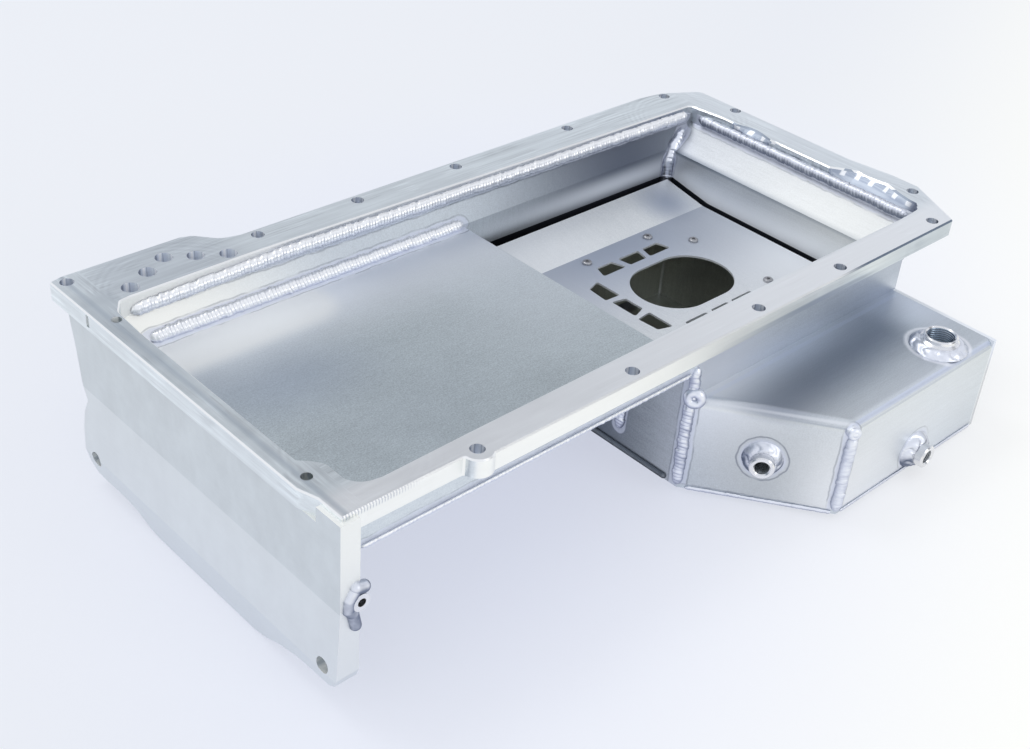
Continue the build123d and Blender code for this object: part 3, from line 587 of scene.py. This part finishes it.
BOLT_R = 4.3
PAD_BOLT_R = 5.6
BOLT_HOLES = ((8.1, 277.9), (131.2, 260.0), (211.0, 260.0), (297.7, 260.0), (408.0, 260.0),
              (514.0, 258.0), (541.0, 207.4), (541.0, 42.5), (514.0, 8.0), (408.0, 8.0),
              (324.5, 8.0), (211.0, 8.0), (92.9, 8.0))
PAD_HOLES = ((34.5, 251.0), (51.9, 260.5), (68.8, 269.7), (85.7, 260.5), (103.1, 251.0))
ALL_HOLES = [(x, y, BOLT_R) for x, y in BOLT_HOLES] + [(x, y, PAD_BOLT_R) for x, y in PAD_HOLES]

rail_metal = machined_material("milled_rail_aluminium", holes=ALL_HOLES)
# The plate's step tones paint light and shade for the tilt of its facets
plate_metal = machined_material("milled_plate_aluminium", base=0.79, rough=0.32, steps=(
    (-60.8, (0.86, 0.88, 0.89)),
    (-107.5, (0.70, 0.74, 0.77)),
))
dress("rail", rail_metal)
dress("bellhousing_plate", plate_metal)
back_line = (at(31, back_top_y(31), -7), at(511, back_top_y(511), -6))
floor_line = (at(34, 231.0, -27), at(277, 229.5, -27))
knee_line = (at(*KNEE_XYZ), at(491, 226, -34))
corner_line = (at(*CORNER_XY, -34), at(*CORNER_XY, -110))
# Back wall: painted reflections in its fades, cream near the plate, darker further on and very dark towards
# the far end, pale just above the tray; dark_below is painted shadow below the tray's edge
dress("back_wall", sheet_material("back_sheet", 2, 0.68, rough=0.34, heat=(
    (*back_line, 6.4, 0.5),
    (*floor_line, 7.4, 0.45),
    (*knee_line, 7.0, 0.3),
    (*corner_line, 6.0, 0.3),
), fades=(
    (at(25, 0, 0), (1, 0, 0), 175.0, 0.9, CREAM),
    (at(180, 0, -14), (1, 0, 0.5), 70.0, 0.25, (0.44, 0.47, 0.52)),
    (at(440, 0, -24), (1, 0, 0), 175.0, 1.0, (0.115, 0.135, 0.18)),
    (at(440, 0, -41), (0.06, 0, 1), 14.0, 0.75, (0.86, 0.90, 0.96)),
), matte=(
    (at(430, 0, -30), (1, 0, 0.2), 180.0, 0.9),
), dark_below=(-49.2, 0.0, 0.0, 300.0, 279.0)))
# Far wall: painted light in the inner corner, a paler low part, painted shade along the crease, a painted
# cream highlight high up, and painted shadow below the tray's edge
dress("far_wall", sheet_material("far_sheet", 1, 0.68, rough=0.32, heat=(
    (at(FAR_TOP_X, 225, -9), at(FAR_TOP_X, 30, -9), 7.0, 0.4),
    (*knee_line, 7.0, 0.3),
    (*corner_line, 6.0, 0.3),
), fades=(
    (at(492, 228, -42), ROUND, 40.0, 0.7, PALE),
    (at(0, 0, -52), ONLY_Z, 23.0, 0.95, (0.90, 0.93, 0.97)),
    (at(0, 0, -27.5), ONLY_Z, 3.0, 0.9, DARK_BAND),
    (at(515, 60, -12), (1, 1, 2), 170.0, 0.45, (1.0, 0.99, 0.90)),
), matte=(
    (at(0, 0, -56), ONLY_Z, 27.0, 1.0),
), tint=(0.97, 1.0, 1.03), dark_below=(-56.0, 7.0, 183.0, 221.0, 470.0)))
# Shallow floor: painted reflection of the back wall near it and as a band along the weld, painted shade
# further out, and lighter towards the sump
dress("shallow_floor", sheet_material("floor_sheet", 0, 0.62, rough=0.3, heat=(
    (*floor_line, 7.4, 0.5),
), fades=(
    (at(0, 222, FLOOR_Z), LINE_X, 78.0, 0.9, (0.92, 0.95, 0.99)),
    (at(72, 150, FLOOR_Z), (0.6, 1, 0), 52.0, 0.42, (0.36, 0.42, 0.54)),
    (at(30, 176, FLOOR_Z), ROUND, 40.0, 0.35, DIM),
    (at(110, 90, FLOOR_Z), ROUND, 120.0, 0.16, DIM),
    (at(277, 150, FLOOR_Z), ROUND, 130.0, 0.30, PALE),
), matte=(
    (at(96, 210, FLOOR_Z), (0.30, 1, 0), 36.0, 0.62),
), tint=(0.91, 1.0, 1.03), streak=0.16, speckle=0.46, folds=(
    (at(30, 212, FLOOR_Z), at(128, 212, FLOOR_Z), 30.0, 0.62, (1.0, 1.0, 0.96)),
)))
dress("shallow_front_wall", sheet_material("front_sheet", 0, 0.80, heat=(
    (at(20, FRONT_Y, FLOOR_BOT), at(272, FRONT_Y, FLOOR_BOT), 5.0, 0.3),
), matte=((at(0, 0, FLOOR_BOT), ONLY_Z, 60.0, 0.6),)))
# Sump rear wall: painted light along the front corner and painted shade low down, away from it
dress("sump_rear_wall", sheet_material("rear_sheet", 1, 0.38, heat=(
    (corner_at + Vector((0, 0, mm(-30))), corner_at + Vector((0, 0, mm(-120))), 7.0, 0.6),
    (at(SUMP_X, STITCH_Y, -62.0), at(SUMP_X, STITCH_Y, -102.0), 6.6, 0.6),
), fades=(
    (corner_at, LINE_Z, 40.0, 0.25, PALE),
    (at(SUMP_X, 98, -104), ROUND, 82.0, 0.9, (0.08, 0.10, 0.13)),
)))
# Kick-out: painted reflections and shade in its fades, shade_line and folds: a dark band across the top,
# light and dark patches on its faces, and light and dark lines along its folds and its far corner
kick_shade = (at(300, -29, KICK_Z), at(438, -17, KICK_Z))
dress("kickout_shell", sheet_material("kick_sheet", 0, 0.64, rough=0.28, heat=(
    (corner_at + Vector((0, 0, mm(-53))), corner_at + Vector((0, 0, mm(-120))), 6.6, 0.6),
    (kick_at + Vector((0, 0, mm(-56))), kick_at + Vector((0, 0, mm(-120))), 6.2, 0.5),
    (side_bung_at, side_bung_at, 16.5, 0.35),
    (angle_bung_at, angle_bung_at, 16.4, 0.75),
    (at(345, KICK_Y, SUMP_Z), at(490, KICK_Y, SUMP_Z), 3.2, 0.3),
    (at(SUMP_X, FRONT_Y, SUMP_Z), at(KICK_X, KICK_Y, SUMP_Z), 3.2, 0.5),
), fades=(
    (at(500, 12, -30), (1, 2.2, 1), 150.0, 0.5, (0.33, 0.38, 0.50)),
    (at(300, 12, -30), ROUND, 90.0, 0.85, (0.94, 0.96, 1.0)),
    (at(370, 4, KICK_Z), (0.3, 1, 1), 24.0, 0.4, (0.80, 0.86, 1.0)),
    (at(484, -8, KICK_Z), (1, 1, 2.4), 46.0, 0.5, (0.86, 0.91, 1.0)),
    (at(310, -30, -95), ROUND, 84.0, 0.46, (0.50, 0.50, 0.48)),
    (at(440, KICK_Y, -90), (1, 3, 1), 110.0, 0.45, PALE),
    (at(340, KICK_Y, -118), (1, 3, 1), 120.0, 0.6, (1.0, 1.0, 1.0)),
), matte=(
    (at(385, 12, -20), (0.3, 1, 1), 40.0, 0.6),
), shade_line=(*kick_shade, (1, 1, 3), 33.0, 0.6, (0.16, 0.19, 0.27)), halos=(
    (top_bung_at, 21.4, 2.6, 0.9, (0.95, 0.96, 1.0)),
), folds=(
    (at(284, 10.8, -48.6), at(486, 10.8, -48.6), 1.5, 0.4, (0.24, 0.27, 0.36)),
    (at(284, 7.4, KICK_Z), at(486, 7.4, KICK_Z), 2.2, 0.2, (0.72, 0.78, 0.94)),
    (at(278.8, 10.4, -50.8), at(338.2, -68.8, -50.8), 2.5, 0.55, (0.97, 0.98, 1.0)),
    (at(279.0, 8.4, -54.2), at(336.0, -68.0, -54.2), 1.1, 0.4, (0.34, 0.38, 0.46)),
    (at(341, -67.8, -50.8), at(489, -67.8, -50.8), 2.8, 0.6, (0.78, 0.84, 1.0)),
    (at(341, KICK_Y, -54.4), at(489, KICK_Y, -54.4), 1.2, 0.35, (0.34, 0.38, 0.50)),
    (at(493, KICK_Y, -54), at(493, KICK_Y, -118), 2.2, 0.7, (0.97, 0.98, 1.0)),
)))
# Sump floor: painted shade, olive-grey, on its level face under the tray
dress("sump_floor", sheet_material("sump_sheet", 0, 0.64, flat_fades=(
    (at(388, 116, -117), LINE_Z, 160.0, 0.95, (0.44, 0.45, 0.40)),
)))
# Baffle tray: painted reflections, lighter towards its far end and its back strip, a dark smudge mirroring
# the corner weld, and a darker blue-grey flat
dress("baffle_tray", sheet_material("tray_sheet", 1, 0.82, rough=0.3, fades=(
    (at(475, 95, -52), ROUND, 85.0, 0.9, (0.96, 0.98, 1.0)),
    (at(300, 215, -48), ROUND, 120.0, 0.5, (0.96, 0.98, 1.0)),
    (at(462, 199, -50), ROUND, 36.0, 0.9, (0.34, 0.39, 0.49)),
), matte=(
    (at(380, 120, -54), ROUND, 330.0, 0.85),
), flat_fades=(
    (at(380, 180, -54), (0.5, 1, 0), 122.0, 0.95, (0.34, 0.385, 0.475)),
), tint=(0.95, 1.0, 1.02)))
dress("baffle_box", sheet_material("box_sheet", 2, 0.56, tint=(0.99, 1.0, 0.91)))
steel = screw_material()
dress("tray_screws", steel)
dress("tray_nuts", steel)
lathe = lathe_material("turned_aluminium")
# Painted shade in the bungs' bores: dark thread colours, with painted highlights on the large thread's crests
large_thread = lathe_material("dark_thread_aluminium", (0.16, 0.21, 0.27), (0.34, 0.40, 0.48), rings=1.5)
small_thread = lathe_material("bore_shadow_aluminium", (0.18, 0.20, 0.21), (0.54, 0.56, 0.58))
for part in ("bung_top", "bung_side", "bung_angled", "plate_boss"):
    dress(part, lathe)
weld = weld_material("weld_bead_aluminium", (0.72, 0.75, 0.84), (1.0, 1.0, 1.0), metallic=0.72)
# Painted shadow: the rear bottom bead is dark, as it lies in shade along the bottom edge
shadowed_edge_weld = weld_material("shaded_weld_aluminium", (0.05, 0.06, 0.07), (0.24, 0.26, 0.29), rough=0.4)
pale_weld = weld_material(
    "pale_weld_aluminium", (0.58, 0.61, 0.71), (0.90, 0.92, 0.97), rough=0.3, metallic=0.8)
lavender_weld = weld_material("lavender_weld_aluminium", (0.38, 0.41, 0.52), (0.90, 0.92, 0.98))
# Painted dark reflection on the far weld, which is also a little rougher
dull_weld_painted_dark = weld_material("far_weld_aluminium", (0.26, 0.29, 0.37), (0.76, 0.78, 0.84), rough=0.34)
ring_metal = weld_material("ring_weld_aluminium", (0.16, 0.19, 0.27), (0.86, 0.88, 0.94), rough=0.34)
for part in nodes:
    if part.startswith("weld_"):
        dress(part, weld)
dress("weld_bottom_rear", shadowed_edge_weld)
dress("weld_plate_boss", ring_metal)


# Weld beads with overlapping ripples
def mesh_piece(name, verts, faces, material, smooth=True):
    data = bpy.data.meshes.new(name)
    data.from_pydata([tuple(v) for v in verts], [], faces)
    data.validate()
    data.materials.append(material)
    data.polygons.foreach_set("use_smooth", [smooth] * len(data.polygons))
    data.update()
    obj = bpy.data.objects.new(name, data)
    bpy.context.scene.collection.objects.link(obj)
    return obj


def resample(points, step):
    """Points at even steps along a line, and the line's length."""
    lengths = [0.0]
    for a, b in zip(points, points[1:]):
        lengths.append(lengths[-1] + (b - a).length)
    total = lengths[-1]
    count = max(8, round(total / step))
    result = []
    for i in range(count + 1):
        s = total * i / count
        k = max(j for j in range(len(lengths) - 1) if lengths[j] <= s + 1e-9)
        t = (s - lengths[k]) / (lengths[k + 1] - lengths[k])
        result.append(points[k].lerp(points[k + 1], t))
    return result, total


def smoothed(points, rounds):
    for _ in range(rounds):
        inner = [(a + b * 2 + c) / 4 for a, b, c in zip(points, points[1:], points[2:])]
        points = [points[0]] + inner + [points[-1]]
    return points


BEAD_TIP = 1.7


def ripple_bead(path, r, up, pitch, seed, spread, lift, wave, closed=False):
    """Overlapping scales along a path, as points and faces.

    r is half the width, up the way out of the joint, pitch a scale's length and spread half the section's
    angle. lift is the bead's height and wave the scales' depth, as shares of r. An end is BEAD_TIP * r long.
    """
    rng = random.Random(seed)
    line, total = resample(path, mm(pitch) / 8)
    line = line[:-1] if closed else smoothed(line, 10)
    count = len(line)
    whole = max(3, round(total / mm(pitch)))
    size = [1.0 + rng.uniform(-0.07, 0.07) for _ in range(whole + 12)]
    side_shift = [rng.uniform(-0.08, 0.08) for _ in range(whole + 12)]
    half = math.radians(spread)
    around = 12
    verts = []
    for i, p in enumerate(line):
        before = line[i - 1] if (closed or i) else p
        after = line[(i + 1) % count] if (closed or i < count - 1) else p
        tangent = (after - before).normalized()
        out = Vector(up)
        out = (out - tangent * out.dot(tangent)).normalized()
        side = tangent.cross(out)
        s = total * i / count
        near = 1.0 if closed else min(1.0, min(s, total - s) / mm(r * BEAD_TIP))
        cap = max(0.03, math.sqrt(max(0.0, 1 - (1 - near) ** 2)))
        ring = []
        for j in range(around + 1):
            angle = -half + 2 * half * j / around
            phase = s / total * whole + 0.62 * math.cos(angle) * r / pitch + 2
            k = int(phase) % whole if closed else min(int(phase), whole + 11)
            f = phase - math.floor(phase)
            scale = f ** 0.5 * (1 - 0.75 * f ** 5)
            height = 1 + wave * (2.0 * scale - 1.25) * (0.35 + 0.65 * math.cos(angle))
            height += noise.noise(p * 900 + Vector((seed, j * 0.35, 0))) * 0.02
            height += noise.noise(p * 120 + Vector((0, seed, 0))) * 0.03
            radius = mm(r) * cap * size[k] * height
            shift = mm(r) * side_shift[k] * cap
            across = side * (math.sin(angle) * radius + shift)
            ring.append(p + across + out * (math.cos(angle) * radius * lift))
        ring.append(p - out * mm(0.3))
        verts.extend(ring)
    wide = around + 2
    faces = []
    for i in range(count if closed else count - 1):
        a = i * wide
        b = ((i + 1) % count) * wide
        for j in range(wide):
            k = (j + 1) % wide
            faces.append((a + j, a + k, b + k, b + j))
    if not closed:
        faces.append(tuple(range(wide)))
        faces.append(tuple(reversed(range((count - 1) * wide, count * wide))))
    return verts, faces


def ring_lobes(centre, normal, r_in, r_out, height, lobes, seed):
    """Weld round a bung: a cone of overlapping lobes, from the wall up to the bung's side."""
    rng = random.Random(seed)
    normal = Vector(normal).normalized()
    side = normal.orthogonal().normalized()
    other = normal.cross(side)
    size = [rng.uniform(0.85, 1.15) for _ in range(lobes)]
    steps = 16 * lobes
    rows = 9
    verts = []
    for i in range(steps):
        turn = 2 * math.pi * i / steps
        way = side * math.cos(turn) + other * math.sin(turn)
        for j in range(rows + 1):
            t = j / rows
            phase = lobes * i / steps + 0.55 * math.sin(math.pi * t) + 1
            f = phase - math.floor(phase)
            dome = f ** 0.5 * (1 - 0.8 * f ** 4) * size[int(phase) % lobes]
            radius = r_in - 0.3 + (r_out - r_in) * t * (0.90 + 0.14 * dome)
            rise = height * (1 - t) ** 1.1 + 0.34 * height * math.sin(math.pi * t) * (1.5 * dome - 0.15)
            rise += 0.06 * height * noise.noise(Vector((turn * 9, t * 6, seed)))
            verts.append(centre + way * mm(radius) + normal * mm(max(0.05, rise)))
        verts.append(centre + way * mm(r_out * 0.98) - normal * mm(0.2))
        verts.append(centre + way * mm(r_in - 0.3) - normal * mm(0.2))
    return verts, lathe_faces(steps, rows + 3)


def lathe_faces(steps, rows):
    faces = []
    for i in range(steps):
        a = i * rows
        b = ((i + 1) % steps) * rows
        for j in range(rows):
            k = (j + 1) % rows
            faces.append((a + j, b + j, b + k, a + k))
    return faces


def blob(centre, r, seed, flat=1.0):
    """A small lump of weld metal."""
    verts = []
    steps, rows = 24, 14
    for i in range(steps):
        turn = 2 * math.pi * i / steps
        for j in range(rows + 1):
            lean = math.pi * (j + 0.02) / (rows + 0.04)
            level = math.sin(lean)
            way = Vector((level * math.cos(turn), level * math.sin(turn), flat * math.cos(lean)))
            bumpy = 1 + 0.10 * noise.noise(way * 1.7 + Vector((seed, 0, 0)))
            verts.append(centre + way * mm(r) * bumpy)
    faces = []
    wide = rows + 1
    for i in range(steps):
        a = i * wide
        b = ((i + 1) % steps) * wide
        for j in range(rows):
            faces.append((a + j, a + j + 1, b + j + 1, b + j))
    faces.append(tuple(i * wide for i in range(steps)))
    faces.append(tuple(i * wide + rows for i in reversed(range(steps))))
    return verts, faces


def thread_sleeve(centre, normal, bore, top, bottom, pitch, depth):
    """Helical thread inside a bung. top and bottom are measured outwards from the wall."""
    normal = Vector(normal).normalized()
    side = normal.orthogonal().normalized()
    other = normal.cross(side)
    steps, per_turn = 64, 6
    rows = int((top - bottom) / pitch) * per_turn
    verts = []
    for i in range(steps):
        turn = 2 * math.pi * i / steps
        way = side * math.cos(turn) + other * math.sin(turn)
        for j in range(rows + 1):
            f = (j / per_turn + i / steps) % 1.0
            inward = depth * (1 - abs(2 * f - 1)) * min(1.0, j / 4, (rows - j) / 4)
            along = bottom + (top - bottom) * j / rows
            verts.append(centre + way * mm(bore + 0.05 - inward) + normal * mm(along))
        for end in (top, bottom):
            verts.append(centre + way * mm(bore + 0.35) + normal * mm(end))
    return verts, lathe_faces(steps, rows + 3)


def circle(centre, normal, r, count=48):
    normal = Vector(normal).normalized()
    side = normal.orthogonal().normalized()
    other = normal.cross(side)
    turns = [2 * math.pi * i / count for i in range(count + 1)]
    return [centre + side * mm(r) * math.cos(t) + other * mm(r) * math.sin(t) for t in turns]


def joined(name, shapes, material):
    """One piece of the scene from several closed shapes."""
    verts = []
    faces = []
    for more_verts, more_faces in shapes:
        start = len(verts)
        verts.extend(more_verts)
        faces.extend(tuple(start + k for k in face) for face in more_faces)
    obj = mesh_piece(name, verts, faces, material)
    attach(obj, "root")
    return obj


def replace_weld(node, shapes, material):
    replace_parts(joined(node + "_ripples", shapes, material), node)


def path_of(points):
    return [at(*p) for p in points]


CORNER_OUT = (Vector((-1, 0, 0)) + ANGLE_OUT).normalized()
KICK_OUT = (Vector((0, -1, 0)) + ANGLE_OUT).normalized()
# Node, path, half width, way out, pitch, spread, lift, metal, wave
long_beads = (
    ("weld_rail_back",
     [(28.5, back_top_y(28.5) - 0.6, -9.8), (136.0, back_top_y(136.0) - 0.6, -5.6),
      (511.0, back_top_y(511.0) - 0.6, -5.3)],
     4.2, (0, -1, 0.15), 2.4, 96.0, 0.9, weld, 0.075),
    ("weld_rail_far",
     [(FAR_TOP_X + 0.8, 225.0, -8.0), (FAR_TOP_X + 0.8, 30.0, -8.0)],
     3.7, (-1, 0, 0.35), 2.6, 90.0, 0.9, dull_weld_painted_dark, 0.08),
    ("weld_floor_back",
     [(34.0, back_low_y(34.0) + 0.5, -26.4), (279.0, back_low_y(279.0) + 0.5, -26.4)],
     4.5, (0, -0.8, 0.8), 2.6, 84.0, 0.9, weld, 0.10),
    ("weld_wall_corner",
     [KNEE_XYZ, (495.0, 226.5, -25.0), (*CORNER_XY, -36.0), (*CORNER_XY, -104.0)],
     4.6, (-0.8, -0.8, 0.1), 3.2, 76.0, 0.85, lavender_weld, 0.05),
    ("weld_shallow_front",
     [(20.0, FRONT_Y, FLOOR_BOT + 0.5), (SUMP_X - 4.5, FRONT_Y, FLOOR_BOT + 0.5)],
     2.1, (0, -1, -1), 2.6, 90.0, 0.9, weld, 0.10),
    ("weld_rail_front",
     [(24.0, FRONT_Y, -RAIL_T), (470.0, FRONT_Y, -RAIL_T)],
     2.3, (0, -1, -1), 2.8, 50.0, 0.9, weld, 0.10),
)
for seed, (name, pts, r, up, pitch, spread, lift, metal, wave) in enumerate(long_beads):
    replace_weld(name, [ripple_bead(path_of(pts), r, up, pitch, seed + 1, spread, lift, wave)], metal)

# Upright corner beads. The rear one ends above in a swirl of metal beside the kick-out's top
knob = at(SUMP_X - 1.2, FRONT_Y - 3.4, KICK_Z + 2.0)
knob_out = Vector((-0.75, -0.62, 0.1))
replace_weld("weld_sump_rear_corner", [
    ripple_bead(path_of([(SUMP_X + 0.2, FRONT_Y + 0.5, -53.0), (SUMP_X + 0.2, FRONT_Y + 0.5, BEAD_FOOT_Z)]),
                3.9, CORNER_OUT, 2.7, 11, 104.0, 1.0, 0.07),
    ripple_bead(path_of([(SUMP_X + 0.8, FRONT_Y + 0.2, -27.0), (SUMP_X + 0.2, FRONT_Y - 0.8, -46.0)]),
                3.7, (-0.8, -0.6, 0), 3.0, 12, 104.0, 1.0, 0.06),
    ripple_bead(circle(knob, knob_out, 3.9), 3.2, knob_out, 5.0, 13, 112.0, 1.0, 0.03, closed=True),
    blob(at(SUMP_X + 1.2, FRONT_Y - 1.0, KICK_Z + 2.0), 4.6, 14),
    blob(at(SUMP_X + 4.4, FRONT_Y - 4.6, KICK_Z + 2.2), 2.8, 15),
    blob(at(SUMP_X + 3.6, FRONT_Y - 3.0, KICK_Z + 5.2), 2.2, 16),
], lavender_weld)
kick_top = at(KICK_X, KICK_Y + 1.8, KICK_Z - 6.0)
replace_weld("weld_kickout_corner", [
    ripple_bead(path_of([(KICK_X, KICK_Y + 1.0, -59.0), (KICK_X, KICK_Y + 1.0, BEAD_FOOT_Z)]),
                3.8, KICK_OUT, 2.8, 21, 104.0, 1.0, 0.015),
    blob(kick_top, 4.8, 22, 0.9),
    ripple_bead(circle(kick_top + KICK_OUT * mm(2.2), KICK_OUT, 2.4),
                2.0, KICK_OUT, 5.0, 23, 112.0, 1.0, 0.03, closed=True),
], pale_weld)
replace_weld("weld_rear_wall_stitch", [
    ripple_bead(path_of([(SUMP_X, STITCH_Y, -60.0), (SUMP_X, STITCH_Y, -104.0)]),
                4.1, (-1, 0, 0), 2.8, 31, 88.0, 0.75, 0.1),
], lavender_weld)
replace_weld("weld_bung_top", [ring_lobes(top_bung_at, (0, 0, 1), 13.1, 20.0, 4.6, 10, 41)], ring_metal)
replace_weld("weld_bung_side", [ring_lobes(side_bung_at, (0, -1, 0), 8.0, 14.0, 6.6, 7, 42)], ring_metal)
replace_weld("weld_bung_angled", [ring_lobes(angle_bung_at, ANGLE_OUT, 8.0, 13.5, 5.2, 6, 43)], ring_metal)

# Small bead along the kick-out's bottom edge
joined("kickout_bottom_ripples", [
    ripple_bead(path_of([(SUMP_X + 3.0, FRONT_Y - 4.0, BOTTOM_BEAD_Z),
                         (KICK_X - 2.0, KICK_Y + 2.6, BOTTOM_BEAD_Z)]),
                1.5, ANGLE_OUT + Vector((0, 0, -0.2)), 2.2, 51, 92.0, 0.8, 0.1),
    ripple_bead(path_of([(KICK_X + 4.0, KICK_Y, BOTTOM_BEAD_Z), (FAR_IN_X - 1.0, KICK_Y, BOTTOM_BEAD_Z)]),
                1.2, (0, -1, -0.2), 2.2, 52, 92.0, 0.8, 0.08),
], lavender_weld)

# Threads in the bungs
for name, centre, normal, bore, top, bottom, pitch, depth, metal in (
    ("top_bung_thread", top_bung_at, (0, 0, 1), TOP_BORE, 8.2, -8.6, 1.5, 0.7, large_thread),
    ("side_bung_thread", side_bung_at, (0, -1, 0), SMALL_BORE, 11.2, -6.6, 1.0, 0.4, small_thread),
    ("angled_bung_thread", angle_bung_at, ANGLE_OUT, SMALL_BORE, 10.2, -6.6, 1.0, 0.4, small_thread),
):
    sleeve = thread_sleeve(centre, normal, bore, top, bottom, pitch, depth)
    joined(name, [sleeve], metal)


# Floor, world, lamps and camera. The pan stands on the plate's foot and the sump's far end, so the floor
# leans to touch both
PLATE_FOOT_X = 7.0
PLATE_FOOT_Z = -131.4
FLOOR_CLEARANCE = 0.0004
FLOOR_HALF_SIZE = 9.0
FOCAL_MM = 51.12


def floor():
    slope = (SUMP_Z - PLATE_FOOT_Z) / (FAR_IN_X - PLATE_FOOT_X)
    z0 = mm(PLATE_FOOT_Z) - slope * mm(PLATE_FOOT_X - ORIGIN_X) - FLOOR_CLEARANCE
    half = FLOOR_HALF_SIZE
    corners = [(-half, -half), (half, -half), (half, half), (-half, half)]
    s = Shader("pale_floor", metallic=0.0, roughness=0.7, color=(0.80, 0.83, 0.88))
    s.bsdf.inputs["Specular IOR Level"].default_value = 0.1
    shade = s.node("ShaderNodeBsdfDiffuse")
    shade.inputs["Color"].default_value = (0.385, 0.392, 0.410, 1)
    glow = s.node("ShaderNodeEmission")
    both = s.node("ShaderNodeAddShader")
    s.link(shade.outputs[0], both.inputs[0])
    s.link(glow.outputs[0], both.inputs[1])
    path = s.node("ShaderNodeLightPath")
    # Painted light in the glow: brighter and warmer towards one side, and painted shade as a bluer tint near
    # the pan
    side = s.math("SUBTRACT", s.scaled(s.x, 0.42), s.scaled(s.y, 0.90))
    lit = s.ramp(side, -0.05, 0.50)
    glow_level = s.add(s.scaled(path.outputs["Is Glossy Ray"], 0.04), s.scaled(lit, 0.15), 0.51)
    s.link(glow_level, glow.inputs["Strength"])
    near = s.ramp(s.distance((0.05, -0.1, 0.0), (1, 1, 0)), 0.15, 0.62, 1.0, 0.0)
    tone = s.mix(near, (0.945, 0.965, 1.0), (0.935, 0.975, 1.15))
    s.link(s.mix(lit, tone, (1.06, 1.03, 0.87)), glow.inputs["Color"])
    seen = s.math("MAXIMUM", path.outputs["Is Camera Ray"], path.outputs["Is Glossy Ray"])
    mix = s.node("ShaderNodeMixShader")
    s.link(seen, mix.inputs[0])
    s.link(s.bsdf.outputs[0], mix.inputs[1])
    s.link(both.outputs[0], mix.inputs[2])
    s.link(mix.outputs[0], s.out.inputs[0])
    verts = [(x, y, z0 + slope * x) for x, y in corners]
    mesh_piece("studio_floor", verts, [(0, 1, 2, 3)], s.mat, False)


def lamp(name, place, target, size, power, color=(1, 1, 1)):
    data = bpy.data.lights.new(name, "AREA")
    data.shape = "RECTANGLE"
    data.size, data.size_y = size
    data.energy = power
    data.color = color
    obj = bpy.data.objects.new(name, data)
    obj.location = place
    obj.rotation_mode = "QUATERNION"
    obj.rotation_quaternion = (Vector(target) - Vector(place)).to_track_quat("-Z", "Y")
    bpy.context.scene.collection.objects.link(obj)


def sky_direction(azimuth, elevation):
    a, e = math.radians(azimuth), math.radians(elevation)
    return (math.cos(a) * math.cos(e), math.sin(a) * math.cos(e), math.sin(e))


PLAIN_LIGHT = 0.85
# Soft patches of the studio that the metal mirrors: direction, cosines of where each starts and is full,
# and how much light it adds to the plain light
PATCHES = (
    (sky_direction(-47, 29), 0.9563, 0.9877, -0.50),
    (sky_direction(60, 44), 0.9397, 0.9877, -0.36),
    (sky_direction(30, 48), 0.9397, 0.9900, -0.32),
    (sky_direction(95, 56), 0.83, 0.97, 0.12),
)


def world():
    w = bpy.data.worlds.new("studio")
    bpy.context.scene.world = w
    w.use_nodes = True
    tree = w.node_tree
    tree.nodes.clear()
    out = tree.nodes.new("ShaderNodeOutputWorld")
    shade = tree.nodes.new("ShaderNodeBackground")
    shade.inputs["Color"].default_value = (0.95, 0.985, 1.06, 1)
    plain = tree.nodes.new("ShaderNodeBackground")
    plain.inputs["Color"].default_value = (0.84, 0.86, 0.90, 1)
    coord = tree.nodes.new("ShaderNodeTexCoord")
    total = PLAIN_LIGHT
    for direction, start, full, strength in PATCHES:
        dot = tree.nodes.new("ShaderNodeVectorMath")
        dot.operation = "DOT_PRODUCT"
        dot.inputs[1].default_value = direction
        tree.links.new(coord.outputs["Generated"], dot.inputs[0])
        ramp = tree.nodes.new("ShaderNodeMapRange")
        ramp.interpolation_type = "SMOOTHSTEP"
        ramp.inputs["From Min"].default_value = start
        ramp.inputs["From Max"].default_value = full
        ramp.inputs["To Min"].default_value = 0.0
        ramp.inputs["To Max"].default_value = strength
        tree.links.new(dot.outputs["Value"], ramp.inputs["Value"])
        add = tree.nodes.new("ShaderNodeMath")
        add.operation = "ADD"
        if isinstance(total, float):
            add.inputs[0].default_value = total
        else:
            tree.links.new(total, add.inputs[0])
        tree.links.new(ramp.outputs["Result"], add.inputs[1])
        total = add.outputs[0]
    tree.links.new(total, shade.inputs["Strength"])
    path = tree.nodes.new("ShaderNodeLightPath")
    mix = tree.nodes.new("ShaderNodeMixShader")
    tree.links.new(path.outputs["Is Camera Ray"], mix.inputs[0])
    tree.links.new(shade.outputs[0], mix.inputs[1])
    tree.links.new(plain.outputs[0], mix.inputs[2])
    tree.links.new(mix.outputs[0], out.inputs[0])


def camera():
    data = bpy.data.cameras.new("photo_camera")
    data.sensor_width = 36.0
    data.lens = FOCAL_MM
    data.clip_start = 0.02
    data.clip_end = 50.0
    obj = bpy.data.objects.new("photo_camera", data)
    right = Vector((0.72945521, -0.68040948, 0.07027118))
    down = Vector((-0.34326588, -0.4529847, -0.82278393))
    ahead = Vector((0.59166176, 0.57606232, -0.56399341))
    turn = Matrix((right, -down, -ahead)).transposed()
    obj.matrix_world = Matrix.Translation((-0.6385, -0.5593, 0.4614)) @ turn.to_4x4()
    bpy.context.scene.collection.objects.link(obj)
    bpy.context.scene.camera = obj


floor()
world()
lamp("key_softbox", (-0.5, 1.0, 2.0), (0, 0, 0), (0.9, 0.7), 7.0)
lamp("side_softbox", (0.55, -2.0, 1.0), (0.1, 0, -0.05), (1.0, 0.8), 4.5, (1.0, 0.99, 0.97))
camera()
bpy.context.scene.view_settings.view_transform = "Standard"
